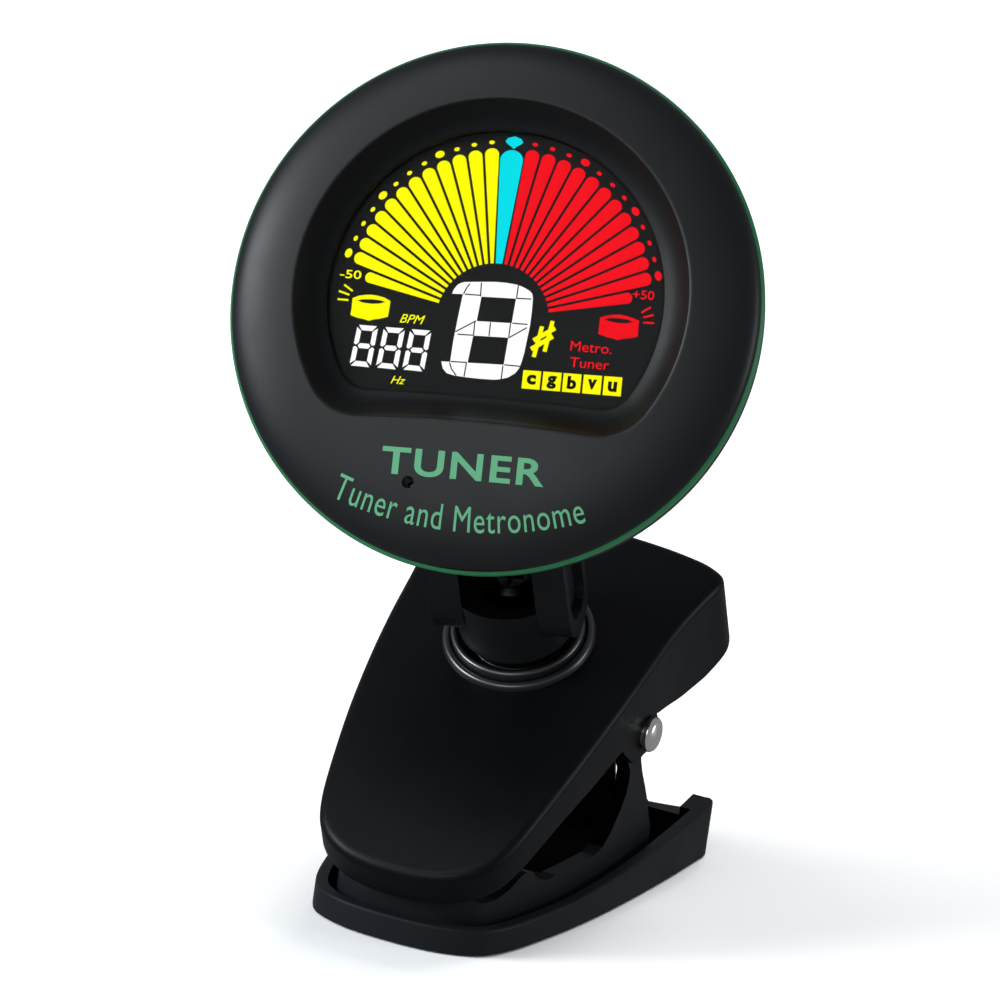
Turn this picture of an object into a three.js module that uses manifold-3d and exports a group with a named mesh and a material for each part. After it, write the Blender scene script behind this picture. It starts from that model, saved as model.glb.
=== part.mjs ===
// Clip-on instrument tuner: a round display head on a forked yoke that swivels
// on the upper jaw of a spring clip.
//
// Millimetres, +Z up.  The origin is on the lower jaw's flat underside, straight
// below the clip's pivot pin.  The clip's tip points along -Y and the pivot pin
// lies along X.
//
// Three nested groups carry the parts above the lower jaw:
//   clip  (x, s, n)   s runs along the upper jaw towards its thumb end,
//                     n is square to the jaw's top and is the swivel axis
//   yoke  (h, u, n)   h is the tilt pin's direction
//   head  (x, y, z)   z points out of the display, y is up the display,
//                     z = 0 is the joint line between the front and the rim
import * as THREE from 'three';
import { mergeVertices } from 'three/addons/utils/BufferGeometryUtils.js';
import Module from 'manifold-3d';

const wasm = await Module();
wasm.setup();

// ---------------------------------------------------------------- dimensions
const JAW_ANGLE = THREE.MathUtils.degToRad(31.77); // upper jaw's top to the floor
const SWIVEL_REST = THREE.MathUtils.degToRad(12.0);
const HEAD_LEAN = THREE.MathUtils.degToRad(33.36); // head about the tilt pin
const CLIP_Y = -2.65, CLIP_Z = 26.07;              // swivel axis at the jaw's top
const PIVOT_Z = 18.7;                              // pivot pin above the floor
const PIVOT_S = -1.63, PIVOT_N = -7.66;            // the same pin in clip axes
const HEAD_U = 6.05, HEAD_N = 42.7;                // head centre in yoke axes

const PIN_R = 1.5, PIN_HOLE_R = 1.65, PIN_HEAD_R = 1.78;
const UPPER_WALL = 1.6, UPPER_TOP = 2.0;
const CROWN_R = 190, CROWN_S = -9, CROWN_TOP = 0.6;

const HEAD_R = 27.0;        // front bezel
const RIM_R = 27.4;         // coloured rim
const DOME = 3.4;           // height of the front over the joint line
const BACK_Z = -9.4;        // flat of the rear cover
const RIM_BACK = -2.3;      // back of the coloured rim
const RECESS_CY = 0.74;     // display's circle sits above the head's centre
const RIDGE_R = 20.17, WINDOW_R = 17.22, WINDOW_Z = 0.7;

const TILT_Y = -19.2, TILT_Z = -14.5;   // tilt pin in head axes
const KNUCKLE_R = 3.7, KNUCKLE_HALF = 3.2;
const ARM_IN = 3.9, ARM_OUT = 7.3, ARM_R = 4.0;
const POST_R = 6.0, POST_BOTTOM = 2.5, SADDLE_N = 10.6;
const STEM_R = 3.0, STEM_HOLE_R = 3.15;

const CELL_R = 10.0, CELL_H = 3.2, CELL_Y = 3.0;
const BUTTON_R = 2.5, BUTTON_TRAVEL = 0.5;
const BUTTONS = { power_button: [-16.6, 6.5], mode_button: [-16.6, -4.5], up_button: [16.6, 6.5], down_button: [16.6, -4.5] };
const SCREW_AT = [[15.2, 15.2], [-15.2, 15.2], [-15.2, -15.2], [15.2, -15.2]];
const SEG = 36;

// ------------------------------------------------------------------- helpers
const solid = (g) => {
  const c = g.index ? g.clone() : g.clone();
  for (const k of Object.keys(c.attributes)) if (k !== 'position') c.deleteAttribute(k);
  const m = mergeVertices(c, 1e-4);
  return new wasm.Manifold(new wasm.Mesh({
    numProp: 3,
    vertProperties: new Float32Array(m.attributes.position.array),
    triVerts: new Uint32Array(m.index.array),
  }));
};
const geometry = (m) => {
  const mesh = m.getMesh();
  const g = new THREE.BufferGeometry();
  g.setAttribute('position', new THREE.BufferAttribute(new Float32Array(mesh.vertProperties), 3));
  g.setIndex(new THREE.BufferAttribute(new Uint32Array(mesh.triVerts), 1));
  g.computeVertexNormals();
  return g;
};
const box = (x0, x1, y0, y1, z0, z1) => {
  const g = new THREE.BoxGeometry(x1 - x0, y1 - y0, z1 - z0);
  g.translate((x0 + x1) / 2, (y0 + y1) / 2, (z0 + z1) / 2);
  return solid(g);
};
// cylinder or cone along z, from z0 (radius r0) to z1 (radius r1)
const cylZ = (r0, r1, z0, z1, x = 0, y = 0, seg = 36) => {
  const g = new THREE.CylinderGeometry(r1, r0, z1 - z0, seg);
  g.rotateX(Math.PI / 2);
  g.translate(x, y, (z0 + z1) / 2);
  return solid(g);
};
const cylX = (r, x0, x1, y, z, seg = 32, r1 = r) => {
  const g = new THREE.CylinderGeometry(r1, r, x1 - x0, seg);
  g.rotateZ(-Math.PI / 2);
  g.translate((x0 + x1) / 2, y, z);
  return solid(g);
};
// body of revolution about z from [radius, z] points, closed on the axis
const lathe = (pts, seg = SEG) => {
  const g = new THREE.LatheGeometry(pts.map(([r, z]) => new THREE.Vector2(r, z)), seg);
  g.rotateX(Math.PI / 2);
  const s = solid(g);
  return s.volume() < 0 ? solid(flip(g)) : s;
};
const flip = (g) => {
  const c = g.clone();
  const i = c.index.array;
  for (let k = 0; k < i.length; k += 3) [i[k], i[k + 1]] = [i[k + 1], i[k]];
  return c;
};
// prism: outline in (x, y), z from z0 to z1
const prism = (pts, z0, z1, holes = []) => {
  const sh = new THREE.Shape(pts.map(([x, y]) => new THREE.Vector2(x, y)));
  for (const h of holes) sh.holes.push(new THREE.Path(h.map(([x, y]) => new THREE.Vector2(x, y))));
  const g = new THREE.ExtrudeGeometry(sh, { depth: z1 - z0, bevelEnabled: false, steps: 1 });
  g.translate(0, 0, z0);
  return solid(g);
};
// prism across x: outline in (y, z), x from x0 to x1
const prismX = (pts, x0, x1) => {
  const sh = new THREE.Shape(pts.map(([y, z]) => new THREE.Vector2(y, z)));
  const g = new THREE.ExtrudeGeometry(sh, { depth: x1 - x0, bevelEnabled: false, steps: 1 });
  g.applyMatrix4(new THREE.Matrix4().set(0, 0, 1, x0, 1, 0, 0, 0, 0, 1, 0, 0, 0, 0, 0, 1));
  return solid(g);
};
// solid between stacked outlines that share a point count: [[pts, z], ...]
const loft = (sections) => {
  const n = sections[0][0].length, pos = [], idx = [];
  for (const [pts, z] of sections) for (const [x, y] of pts) pos.push(x, y, z);
  for (let k = 0; k + 1 < sections.length; k++) for (let i = 0; i < n; i++) {
    const a = k * n + i, b = k * n + (i + 1) % n, c = a + n, d = b + n;
    idx.push(a, b, d, a, d, c);
  }
  const cap = (k, up) => {
    const v = sections[k][0].map(([x, y]) => new THREE.Vector2(x, y));
    for (const [a, b, c] of THREE.ShapeUtils.triangulateShape(v, [])) {
      idx.push(k * n + a, k * n + (up ? b : c), k * n + (up ? c : b));
    }
  };
  cap(0, false);
  cap(sections.length - 1, true);
  const g = new THREE.BufferGeometry();
  g.setAttribute('position', new THREE.Float32BufferAttribute(pos, 3));
  g.setIndex(idx);
  return solid(g);
};
const smooth = (pts, n) => new THREE.SplineCurve(pts.map(([x, y]) => new THREE.Vector2(x, y)))
  .getSpacedPoints(n).map((p) => [p.x, p.y]);
const mirror = (half) => [...half, ...half.slice().reverse().filter(([x]) => x > 0.01).map(([x, y]) => [-x, y])];
// outline moved inwards by d
const inset = (pts, d) => pts.map((p, i) => {
  const a = pts[(i + pts.length - 1) % pts.length], b = pts[(i + 1) % pts.length];
  const tx = b[0] - a[0], ty = b[1] - a[1], l = Math.hypot(tx, ty);
  return [p[0] - ty / l * d, p[1] + tx / l * d];
});
// jaw outline moved inwards by d and squared off at the thumb end:
// side runs from the nose's middle along the right edge
const jawInsetSide = (side, d) => side.map((p, i) => {
  const a = i ? side[i - 1] : [-side[1][0], side[1][1]], b = side[Math.min(i + 1, side.length - 1)];
  const tx = b[0] - a[0], ty = b[1] - a[1], l = Math.hypot(tx, ty);
  return [i ? p[0] - ty / l * d : 0, p[1] + tx / l * d];
});
const jawInset = (side, d, end) => {
  const q = jawInsetSide(side, d).filter(([, y]) => y < end - 0.3);
  return mirror([...q, [q[q.length - 1][0] + 0.01, end], [0, end]]);
};
// circle with a cut-off bottom that bows upwards, corners rounded; runs anticlockwise
const dShape = (R, cy, yb, sag, rc, arcN = 24, botN = 4) => {
  const a0 = Math.asin((yb - cy) / R), xb = R * Math.cos(a0);
  const arc = [], bot = [];
  for (let i = 0; i <= arcN; i++) {
    const t = a0 + (Math.PI - 2 * a0) * i / arcN;
    arc.push([R * Math.cos(t), cy + R * Math.sin(t)]);
  }
  for (let i = 1; i < botN; i++) {
    const x = -xb + 2 * xb * i / botN;
    bot.push([x, yb + sag * (1 - (x / xb) ** 2)]);
  }
  const keepA = arc.filter(([x, y]) => Math.hypot(Math.abs(x) - xb, y - yb) > rc);
  const keepB = bot.filter(([x, y]) => Math.hypot(Math.abs(x) - xb, y - yb) > rc);
  const bez = (p, c, q) => [0.25, 0.5, 0.75].map((t) => [0, 1].map((k) => (1 - t) ** 2 * p[k] + 2 * t * (1 - t) * c[k] + t * t * q[k]));
  const out = [...keepA];
  out.push(...bez(keepA[keepA.length - 1], [-xb, yb], keepB[0]));
  out.push(...keepB);
  out.push(...bez(keepB[keepB.length - 1], [xb, yb], keepA[0]));
  return out;
};
const domeZ = (r) => DOME * Math.sqrt(Math.max(0, 1 - (r / HEAD_R) ** 4));

// --------------------------------------------------------------------- scene
const root = new THREE.Group();
const clip = new THREE.Group();
clip.position.set(0, CLIP_Y, CLIP_Z);
clip.rotation.x = JAW_ANGLE;
root.add(clip);
const yokeGroup = new THREE.Group();
yokeGroup.rotation.z = SWIVEL_REST;
clip.add(yokeGroup);
const head = new THREE.Group();
head.position.set(0, HEAD_U, HEAD_N);
head.rotation.x = HEAD_LEAN;
yokeGroup.add(head);

const black = { color: 0x15171a, roughness: 0.42, metalness: 0 };
const satin = { color: 0x1c1f22, roughness: 0.5, metalness: 0 };
const green = { color: 0x2f7d52, roughness: 0.45, metalness: 0 };
const rubber = { color: 0x0d0e10, roughness: 0.8, metalness: 0 };
const steel = { color: 0xb8b6b0, roughness: 0.28, metalness: 1 };
const dark = { color: 0x2a2c30, roughness: 0.35, metalness: 1 };
const brass = { color: 0xc9a45a, roughness: 0.3, metalness: 1 };
const glass = { color: 0x0a0b0c, roughness: 0.08, metalness: 0 };
const panel = { color: 0x101314, roughness: 0.2, metalness: 0 };
const white = { color: 0xe8eaea, roughness: 0.5, metalness: 0 };
const board = { color: 0x1f5a3a, roughness: 0.5, metalness: 0 };

const add = (group, name, m, mat) => {
  const mesh = new THREE.Mesh(geometry(m), new THREE.MeshStandardMaterial(mat));
  mesh.name = name;
  group.add(mesh);
  return mesh;
};

// ---------------------------------------------------------------- lower jaw
const lowerSide = smooth([[0, -28.6], [2.6, -28.5], [5.2, -28.05], [7.7, -27.0], [9.5, -25.5], [10.8, -22.9],
  [11.9, -18.9], [13.2, -12.3], [14.2, -5.1], [14.9, 2.4], [15.4, 10.1], [15.7, 18.2]], 18);
const lowerHalf = lowerSide.concat([[15.72, 20.2], [15.45, 21.0], [14.6, 21.2], [12.3, 19.9], [8.3, 18.9], [4.0, 18.5], [0, 18.4]]);
const lowerPlan = mirror(lowerHalf);
const lowerOuter = prism(lowerPlan, 0, 9);
const rimSide = prismX([[-30, -1], [22.5, -1], [22.5, 6.2], [21.4, 6.15], [20.4, 6.0], [14.8, 5.3], [8.8, 4.6],
  [1.3, 3.75], [-6, 3.2], [-12.9, 2.85], [-30, 2.7]], -20, 20);
const FLOOR_T = 1.8;
let lowerJaw = lowerOuter.intersect(rimSide);
lowerJaw = lowerJaw.subtract(prism(jawInset(lowerSide, 1.25, 17.5), FLOOR_T, 12));
// wall across the back, notched beside the corners and higher in the middle
lowerJaw = lowerJaw.subtract(box(-13.2, 13.2, 17.0, 30, 4.7, 20));
lowerJaw = lowerJaw.add(prism([[-9.6, 4.6], [9.6, 4.6], [8.8, 5.4], [7.6, 5.4], [6.0, 7.0], [-6.0, 7.0], [-7.6, 5.4], [-8.8, 5.4]], 17.35, 18.4)
  .rotate([90, 0, 0]).mirror([0, 1, 0]));
// gripping walls and pivot ears
const earSide = prismX([
  [-27, 0.6], [9.6, 0.6], [9.2, 5.4], [8.2, 7.2], [7.3, 9.0], [6.2, 10.8], [5.1, 12.4], [4.35, 13.8], [3.75, 15.2], [3.1, 16.6],
  ...Array.from({ length: 12 }, (_, i) => { const t = THREE.MathUtils.degToRad(-42 + i * 24.8); return [2.9 * Math.cos(t), PIVOT_Z + 2.9 * Math.sin(t)]; }),
  [-0.6, 15.6], [0.9, 14.8], [1.75, 13.6], [1.9, 12.4], [1.6, 11.0], [0.9, 9.7], [0.1, 8.6], [-0.9, 7.3], [-2.2, 6.2], [-3.9, 5.65], [-8.0, 5.5],
  [-11.8, 5.4], [-13.4, 5.1], [-14.3, 5.15], [-15.3, 5.9], [-16.4, 6.75], [-17.4, 6.95], [-18.4, 6.7], [-20.2, 5.6], [-22.0, 4.95], [-23.6, 4.75], [-27, 4.7]], -20, 20);
const gripRing = prism(jawInset(lowerSide, 2.25, 16), 0.5, 24).subtract(prism(jawInset(lowerSide, 3.75, 16.5), -1, 30));
lowerJaw = lowerJaw.add(gripRing.intersect(earSide).subtract(box(-9.8, 9.8, -5, 30, 0, 30)));
// spring leg rests in a shallow stop
lowerJaw = lowerJaw.subtract(cylX(PIN_HOLE_R, -20, 20, 0, PIVOT_Z, 24));
add(root, 'lower_jaw', lowerJaw, black);

// ribbed grip pad inside the lower jaw's nose
const padPlan = jawInset(lowerSide, 4.05, 0);
const ribs = [];
for (let i = 0; i <= 11; i++) { const y = -24.6 + i * 1.2; ribs.push([y, 4.3], [y + 0.6, 4.75]); }
const lowerPad = prism(padPlan, FLOOR_T + 0.05, 8).intersect(prismX([[-25.5, 0], [-10.4, 0], [-10.4, 4.2], ...ribs.reverse().filter(([y]) => y < -10.6), [-25.5, 4.3]], -20, 20));
add(root, 'lower_pad', lowerPad, rubber);

// pivot pin with a domed head on the right, push-on cap on the left
const pin = cylX(PIN_R, -15.5, 14.6, 0, PIVOT_Z, 24)
  .add(lathe([[0, 0], [PIN_HEAD_R, 0], [PIN_HEAD_R, 0.35], [1.5, 0.7], [0.8, 0.92], [0, 0.97]], 24)
    .rotate([0, 90, 0]).translate([14.75, 0, PIVOT_Z]).add(cylX(PIN_R, 14.2, 14.9, 0, PIVOT_Z, 24)));
add(root, 'pivot_pin', pin, steel);
const cap = lathe([[1.62, 0], [2.3, 0], [2.3, 0.35], [1.9, 0.8], [1.62, 0.8], [1.62, 0]], 24)
  .rotate([0, -90, 0]).translate([-14.7, 0, PIVOT_Z]);
add(root, 'pin_retainer', cap, steel);

// double torsion spring: a leg on the floor, a coil, a bridge under the thumb
// end, a second coil and a second leg
const WIRE = 0.6, COIL_R = 2.95;
const clipToRoot = (s, n) => [CLIP_Y + s * Math.cos(JAW_ANGLE) - n * Math.sin(JAW_ANGLE), CLIP_Z + s * Math.sin(JAW_ANGLE) + n * Math.cos(JAW_ANGLE)];
const springSide = (sgn) => {
  // from the outer leg's end to the bridge
  const p = [];
  p.push([9.6, 13.5, FLOOR_T + 0.75], [9.6, 9.5, 5.6], [9.55, 5.2, 10.2]);
  const turns = 2.0, a0 = THREE.MathUtils.degToRad(-38), steps = 30;
  const a1 = a0 - turns * 2 * Math.PI - THREE.MathUtils.degToRad(288);
  for (let i = 0; i <= steps; i++) {
    const f = i / steps, a = a0 + (a1 - a0) * f;
    p.push([9.5 - 4.9 * f, COIL_R * Math.cos(a), PIVOT_Z + COIL_R * Math.sin(a)]);
  }
  const [by, bz] = clipToRoot(9.5, -3.15), [cy, cz] = clipToRoot(5.5, -3.9);
  p.push([4.5, cy - 0.6, cz - 0.3], [4.3, by, bz]);
  return p.map(([x, y, z]) => new THREE.Vector3(sgn * x, y, z));
};
const sp = springSide(-1);
const [ey, ez] = clipToRoot(11.2, -3.15);
sp.push(new THREE.Vector3(-2.6, ey, ez), new THREE.Vector3(2.6, ey, ez));
sp.push(...springSide(1).reverse());
const springCurve = new THREE.CatmullRomCurve3(sp, false, 'centripetal');
const wireSection = new THREE.Shape(Array.from({ length: 5 }, (_, i) => new THREE.Vector2(WIRE * Math.cos(i * 0.4 * Math.PI), WIRE * Math.sin(i * 0.4 * Math.PI))));
const springGeo = new THREE.ExtrudeGeometry(wireSection, { steps: 92, extrudePath: springCurve, bevelEnabled: false });
{
  let m = solid(springGeo);
  if (m.volume() < 0) { const c = mergeVertices(springGeo.clone().deleteAttribute('normal').deleteAttribute('uv'), 1e-4); m = solid(flip(c)); }
  add(root, 'torsion_spring', m, steel);
}

// ---------------------------------------------------------------- upper jaw
const upperSide = smooth([[0, -32.95], [2.8, -32.8], [5.6, -32.15], [7.8, -31.0], [9.2, -29.7], [10.15, -28.2], [11.1, -25.2],
  [12.1, -20.0], [13.1, -13.7], [13.9, -7.0], [14.45, -0.7], [14.9, 6.5], [15.6, 11.5]], 18);
const upperHalf = upperSide.concat([[16.15, 14.4], [16.2, 15.5], [15.9, 16.4], [15.2, 17.0], [13.5, 17.7], [11.4, 18.1], [8.6, 18.45], [4.5, 18.7], [0, 18.8]]);
const upperPlan = mirror(upperHalf);
const crown = (s, drop = 0) => CROWN_TOP - drop - (s - CROWN_S) ** 2 / (2 * CROWN_R);
const crownPts = (drop, s0 = -34, s1 = 20, n = 6) => Array.from({ length: n + 1 }, (_, i) => { const s = s1 + (s0 - s1) * i / n; return [s, crown(s, drop)]; });
const wallLow = [[-34, -4.7], [-30, -4.55], [-25.9, -4.4], [-18.7, -4.35], [-11.1, -5.0], [-6.9, -5.45], [-6.2, -6.4], [-5.2, -8.4], [-4.5, -9.5], [-3.7, -9.75],
  ...Array.from({ length: 7 }, (_, i) => { const t = THREE.MathUtils.degToRad(-118 + i * 22); return [PIVOT_S + 2.5 * Math.cos(t), PIVOT_N + 2.5 * Math.sin(t)]; }),
  [1.1, -7.35], [3.0, -8.3], [6.0, -9.9], [9.0, -11.0], [11.4, -11.6], [14.2, -11.6], [16.2, -10.8], [17.3, -9.6], [18.0, -7.6], [18.6, -5.6], [20, -5.0]];
let upper = prism(upperPlan, -16, 4).intersect(prismX([...wallLow, ...crownPts(0)], -20, 20));
const hollow = prism(mirror([...jawInsetSide(upperSide, UPPER_WALL), [14.35, 14.6], [14.2, 15.6], [13.0, 16.3], [8.6, 16.85], [0, 17.2]]), -20, 6).intersect(prismX([[-34, -20], [20, -20], ...crownPts(UPPER_TOP)], -20, 20));
upper = upper.subtract(hollow);
// the thumb end is open at the back below a short lip
upper = upper.subtract(box(-13.2, 13.2, 15.5, 25, -20, -4.4));
// moulded bead round the swivel
upper = upper.add(lathe([[0, -1.2], [7.55, -1.2], [7.68, 0.75], [7.45, 1.2], [7.15, 1.1], [7.1, 0.4], [0, 0.4]], SEG)
  .subtract(cylZ(7.1, 7.1, 0.3, 5, 0, 0, SEG)));
upper = upper.subtract(cylZ(STEM_HOLE_R, STEM_HOLE_R, -10, 10, 0, 0, 32));
upper = upper.subtract(cylZ(7.1, 7.1, 0.3, 5, 0, 0, SEG));
upper = upper.subtract(cylX(PIN_HOLE_R, -20, 20, PIVOT_S, PIVOT_N, 24));
add(clip, 'upper_jaw', upper, black);

// ring pressed into the bead
add(clip, 'swivel_collar', lathe([[6.3, 0.4], [6.98, 0.4], [6.98, 1.75], [6.85, 2.1], [6.43, 2.1], [6.3, 1.8], [6.3, 0.4]], SEG), black);
// waved friction washer under the yoke
add(clip, 'friction_washer', lathe([[3.35, 0.4], [5.0, 0.4], [5.0, 0.75], [3.35, 0.75], [3.35, 0.4]], 28), steel);

// grip pad under the nose
const upperPadPlan = jawInset(upperSide, UPPER_WALL + 0.3, 0);
const upperPad = prism(upperPadPlan, -16, 4).intersect(prismX([[-31.2, -5.15], [-29.5, -5.9], [-27.9, -5.95], [-27.4, -6.5], [-26.3, -6.45], [-25.8, -7.0], [-24.6, -6.95], [-24.0, -7.4],
  [-22.6, -7.2], [-21.9, -7.2], [-20.9, -6.5], [-20.0, -6.4], [-19.2, -5.7], [-17.6, -5.2], [-13.4, -3.6], [-12.6, -2.6],
  ...crownPts(UPPER_TOP + 0.25, -31.2, -12.6, 6)], -20, 20));
add(clip, 'upper_pad', upperPad, rubber);

// --------------------------------------------------------------------- yoke
const tiltU = HEAD_U + TILT_Y * Math.cos(HEAD_LEAN) - TILT_Z * Math.sin(HEAD_LEAN);
const tiltN = HEAD_N + TILT_Y * Math.sin(HEAD_LEAN) + TILT_Z * Math.cos(HEAD_LEAN);
const armSide = [[-6.0, 10.2], [-5.85, 8.6], [-5.3, 7.0], [-4.4, 5.8], [-2.6, 4.6], [-0.4, 4.1], [1.2, 4.5], [2.0, 5.8], [2.0, tiltN],
  ...Array.from({ length: 11 }, (_, i) => { const t = Math.PI * (i + 1) / 12; return [tiltU + ARM_R * Math.cos(t), tiltN + ARM_R * Math.sin(t)]; }),
  [tiltU - ARM_R, tiltN]];
let yoke = lathe([[0, 0.95], [5.1, 0.95], [5.1, 2.3], [POST_R, POST_BOTTOM], [6.5, 6.0], [7.15, SADDLE_N], [0, SADDLE_N]], 32)
  .add(lathe([[0, -2.3], [STEM_R, -2.3], [STEM_R, 1.2], [0, 1.2]], 32));
const arms = prismX(armSide, -ARM_OUT, ARM_OUT).subtract(box(-ARM_IN, ARM_IN, -20, 20, -5, 60));
yoke = yoke.add(arms);
// bowl for the swivel screw's head in the saddle
yoke = yoke.subtract(lathe([[0, 7.6], [2.7, 7.6], [3.2, 8.2], [6.3, SADDLE_N + 0.1], [6.3, 14], [0, 14]], 32)
  .intersect(box(-ARM_IN, ARM_IN, -20, 20, -5, 60)));
yoke = yoke.subtract(cylZ(1.65, 1.65, -10, 30, 0, 0, 24));
// tilt pin's hole, and teardrop sinkings in the outer faces of the arms
yoke = yoke.subtract(cylX(1.4, -20, 20, tiltU, tiltN, 28));
const drop = [[-4.2, 8.4], [-3.4, 7.4], [-1.2, 6.5], [0.2, 6.8], [0.9, 8.0], [1.05, tiltN],
  ...Array.from({ length: 7 }, (_, i) => { const t = Math.PI * (i + 1) / 8; return [tiltU + 3.05 * Math.cos(t), tiltN + 3.05 * Math.sin(t)]; }),
  [tiltU - 3.05, tiltN], [-5.0, 12.0], [-4.7, 10.0]];
yoke = yoke.subtract(prismX(drop, ARM_OUT - 1.0, 20)).subtract(prismX(drop, -20, -ARM_OUT + 1.0));
add(yokeGroup, 'yoke', yoke, black);

// swivel screw, its washer and lock nut under the jaw's top
const swivelScrew = lathe([[0, -5.9], [1.35, -5.9], [1.45, -5.7], [1.45, 7.75], [2.3, 7.75], [2.3, 8.8], [1.4, 9.35], [0, 9.35]], 16)
  .subtract(box(-0.28, 0.28, -1.3, 1.3, 8.6, 10)).subtract(box(-1.3, 1.3, -0.28, 0.28, 8.6, 10));
add(yokeGroup, 'swivel_screw', swivelScrew, steel);
add(yokeGroup, 'swivel_washer', lathe([[1.6, -3.0], [4.2, -3.0], [4.2, -2.45], [1.6, -2.45], [1.6, -3.0]], 28), steel);
add(yokeGroup, 'swivel_nut', lathe([[0, -5.4], [2.75, -5.4], [2.9, -5.2], [2.9, -3.3], [2.75, -3.1], [0, -3.1]], 6).subtract(cylZ(1.6, 1.6, -8, 0, 0, 0, 24)), steel);

// tilt screw with its head in the right arm, hexagon nut in the left arm
const tiltScrew = cylX(1.25, -7.1, 6.6, tiltU, tiltN, 24)
  .add(cylX(2.3, 6.45, 7.15, tiltU, tiltN, 28, 2.0)).subtract(box(6.9, 8, tiltU - 1.2, tiltU + 1.2, tiltN - 0.3, tiltN + 0.3)).subtract(box(6.9, 8, tiltU - 0.3, tiltU + 0.3, tiltN - 1.2, tiltN + 1.2));
add(yokeGroup, 'tilt_screw', tiltScrew, steel);
add(yokeGroup, 'tilt_nut', lathe([[0, 0], [2.55, 0], [2.7, 0.12], [2.7, 0.6], [2.55, 0.7], [0, 0.7]], 6).subtract(cylZ(1.4, 1.4, -1, 2, 0, 0, 20))
  .rotate([0, -90, 0]).translate([-6.42, tiltU, tiltN]), steel);
add(yokeGroup, 'tilt_washer_right', lathe([[1.45, 0], [3.3, 0], [3.3, 0.4], [1.45, 0.4], [1.45, 0]], 20).rotate([0, 90, 0]).translate([3.35, tiltU, tiltN]), dark);
add(yokeGroup, 'tilt_washer_left', lathe([[1.45, 0], [3.3, 0], [3.3, 0.4], [1.45, 0.4], [1.45, 0]], 20).rotate([0, -90, 0]).translate([-3.35, tiltU, tiltN]), dark);

// --------------------------------------------------------------------- head
// front bezel: domed disc with a dished, flat-bottomed recess and a window
const ringR = [27, 26.6, 25.6, 23.6, 20.5, 15];
let bezel = lathe([[0, -0.1], [HEAD_R - 0.15, -0.1], [HEAD_R, 0.05], ...ringR.slice(1).map((r) => [r, domeZ(r)]), [0, DOME]], SEG);
const ridgeD = dShape(RIDGE_R, RECESS_CY, -12.85, 0.9, 2.6);
const midD = dShape((RIDGE_R + WINDOW_R) / 2 - 0.45, RECESS_CY, -11.1, 0.7, 2.4);
const winD = dShape(WINDOW_R, RECESS_CY, -9.7, 0.35, 1.9);
const nD = Math.min(ridgeD.length, midD.length, winD.length);
const evenly = (pts, n) => {
  const c = new THREE.CurvePath();
  for (let i = 0; i < pts.length; i++) { const a = pts[i], b = pts[(i + 1) % pts.length]; c.add(new THREE.LineCurve(new THREE.Vector2(...a), new THREE.Vector2(...b))); }
  return c.getSpacedPoints(n).slice(0, n).map((p) => [p.x, p.y]);
};
const eR = evenly(ridgeD, nD), eM = evenly(midD, nD), eW = evenly(winD, nD);
bezel = bezel.subtract(loft([[eW, WINDOW_Z], [eM, 1.25], [eR, 2.5], [eR, 4.2]]));
bezel = bezel.subtract(prism(winD, -1, 3));
// groove behind the ridge that makes the front a shell
bezel = bezel.subtract(lathe([[22.0, -0.5], [25.2, -0.5], [25.2, 0.2], [24.3, 0.75], [22.0, 1.1], [22.0, -0.5]], SEG));
// microphone hole below the display
bezel = bezel.subtract(cylZ(0.62, 0.62, -1, 6, -6.1, -19.0, 12));
for (const [x, y] of SCREW_AT) bezel = bezel.add(cylZ(2.0, 2.0, -2.9, 0.0, x, y, 14)).subtract(cylZ(1.25, 1.25, -4, -0.6, x, y, 12));
add(head, 'front_bezel', bezel, satin);

// lens in the window
const lensD = inset(winD, 0.14);
add(head, 'display_lens', prism(lensD, -0.35, 0.62), glass);
// liquid crystal panel, light guide and rubber connector behind it
const lcdD = dShape(17.9, RECESS_CY, -11.4, 0, 1.2);
add(head, 'lcd_panel', prism(lcdD, -1.55, -0.45), panel);
add(head, 'light_guide', prism(dShape(17.4, RECESS_CY, -9.0, 0, 1.2), -2.75, -1.7), white);
add(head, 'zebra_strip', box(-12, 12, -11.2, -9.5, -3.2, -1.65), rubber);
let pcb = cylZ(24.2, 24.2, -4.15, -3.3, 0, 0, SEG);
for (const [x, y] of SCREW_AT) pcb = pcb.subtract(cylZ(3.0, 3.0, -5, -3, x, y, 12));
add(head, 'circuit_board', pcb, board);
add(head, 'microphone', cylZ(2.2, 2.2, -3.15, -0.9, -6.1, -19.0, 16), steel);
add(head, 'piezo_pickup', cylZ(4.0, 4.0, -7.2, -6.8, 8.4, -14.6, 24), brass);
add(head, 'piezo_buzzer', cylZ(4.2, 4.2, -6.4, -4.4, -8.4, -14.8, 24), dark);

// battery: coin cell held between a flat spring and a clip at its rim
const cellTop = -4.85;
add(head, 'coin_cell', lathe([[0, cellTop - CELL_H], [CELL_R, cellTop - CELL_H + 0.2], [CELL_R, cellTop - 0.7], [8.9, cellTop], [0, cellTop]], 28)
  .translate([0, CELL_Y, 0]), steel);
add(head, 'battery_contact_negative', prism([[-2, -3.5], [2, -3.5], [1.2, 1.5], [1.2, 7.0], [-1.2, 7.0], [-1.2, 1.5]], -4.6, -4.3), brass);
add(head, 'battery_contact_positive', box(-2.5, 2.5, CELL_Y + CELL_R + 0.35, CELL_Y + CELL_R + 0.75, -7.7, -4.3)
  .add(box(-2.5, 2.5, CELL_Y + CELL_R + 0.35, CELL_Y + CELL_R + 2.2, -4.7, -4.3)), brass);

// coloured rim between front and rear
add(head, 'trim_ring', lathe([[25.6, -0.2], [27.1, -0.2], [RIM_R, -0.45], [RIM_R, -0.95], [27.15, -1.8], [27.05, -2.1], [25.6, -2.1], [25.6, -0.2]], SEG), green);

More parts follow.
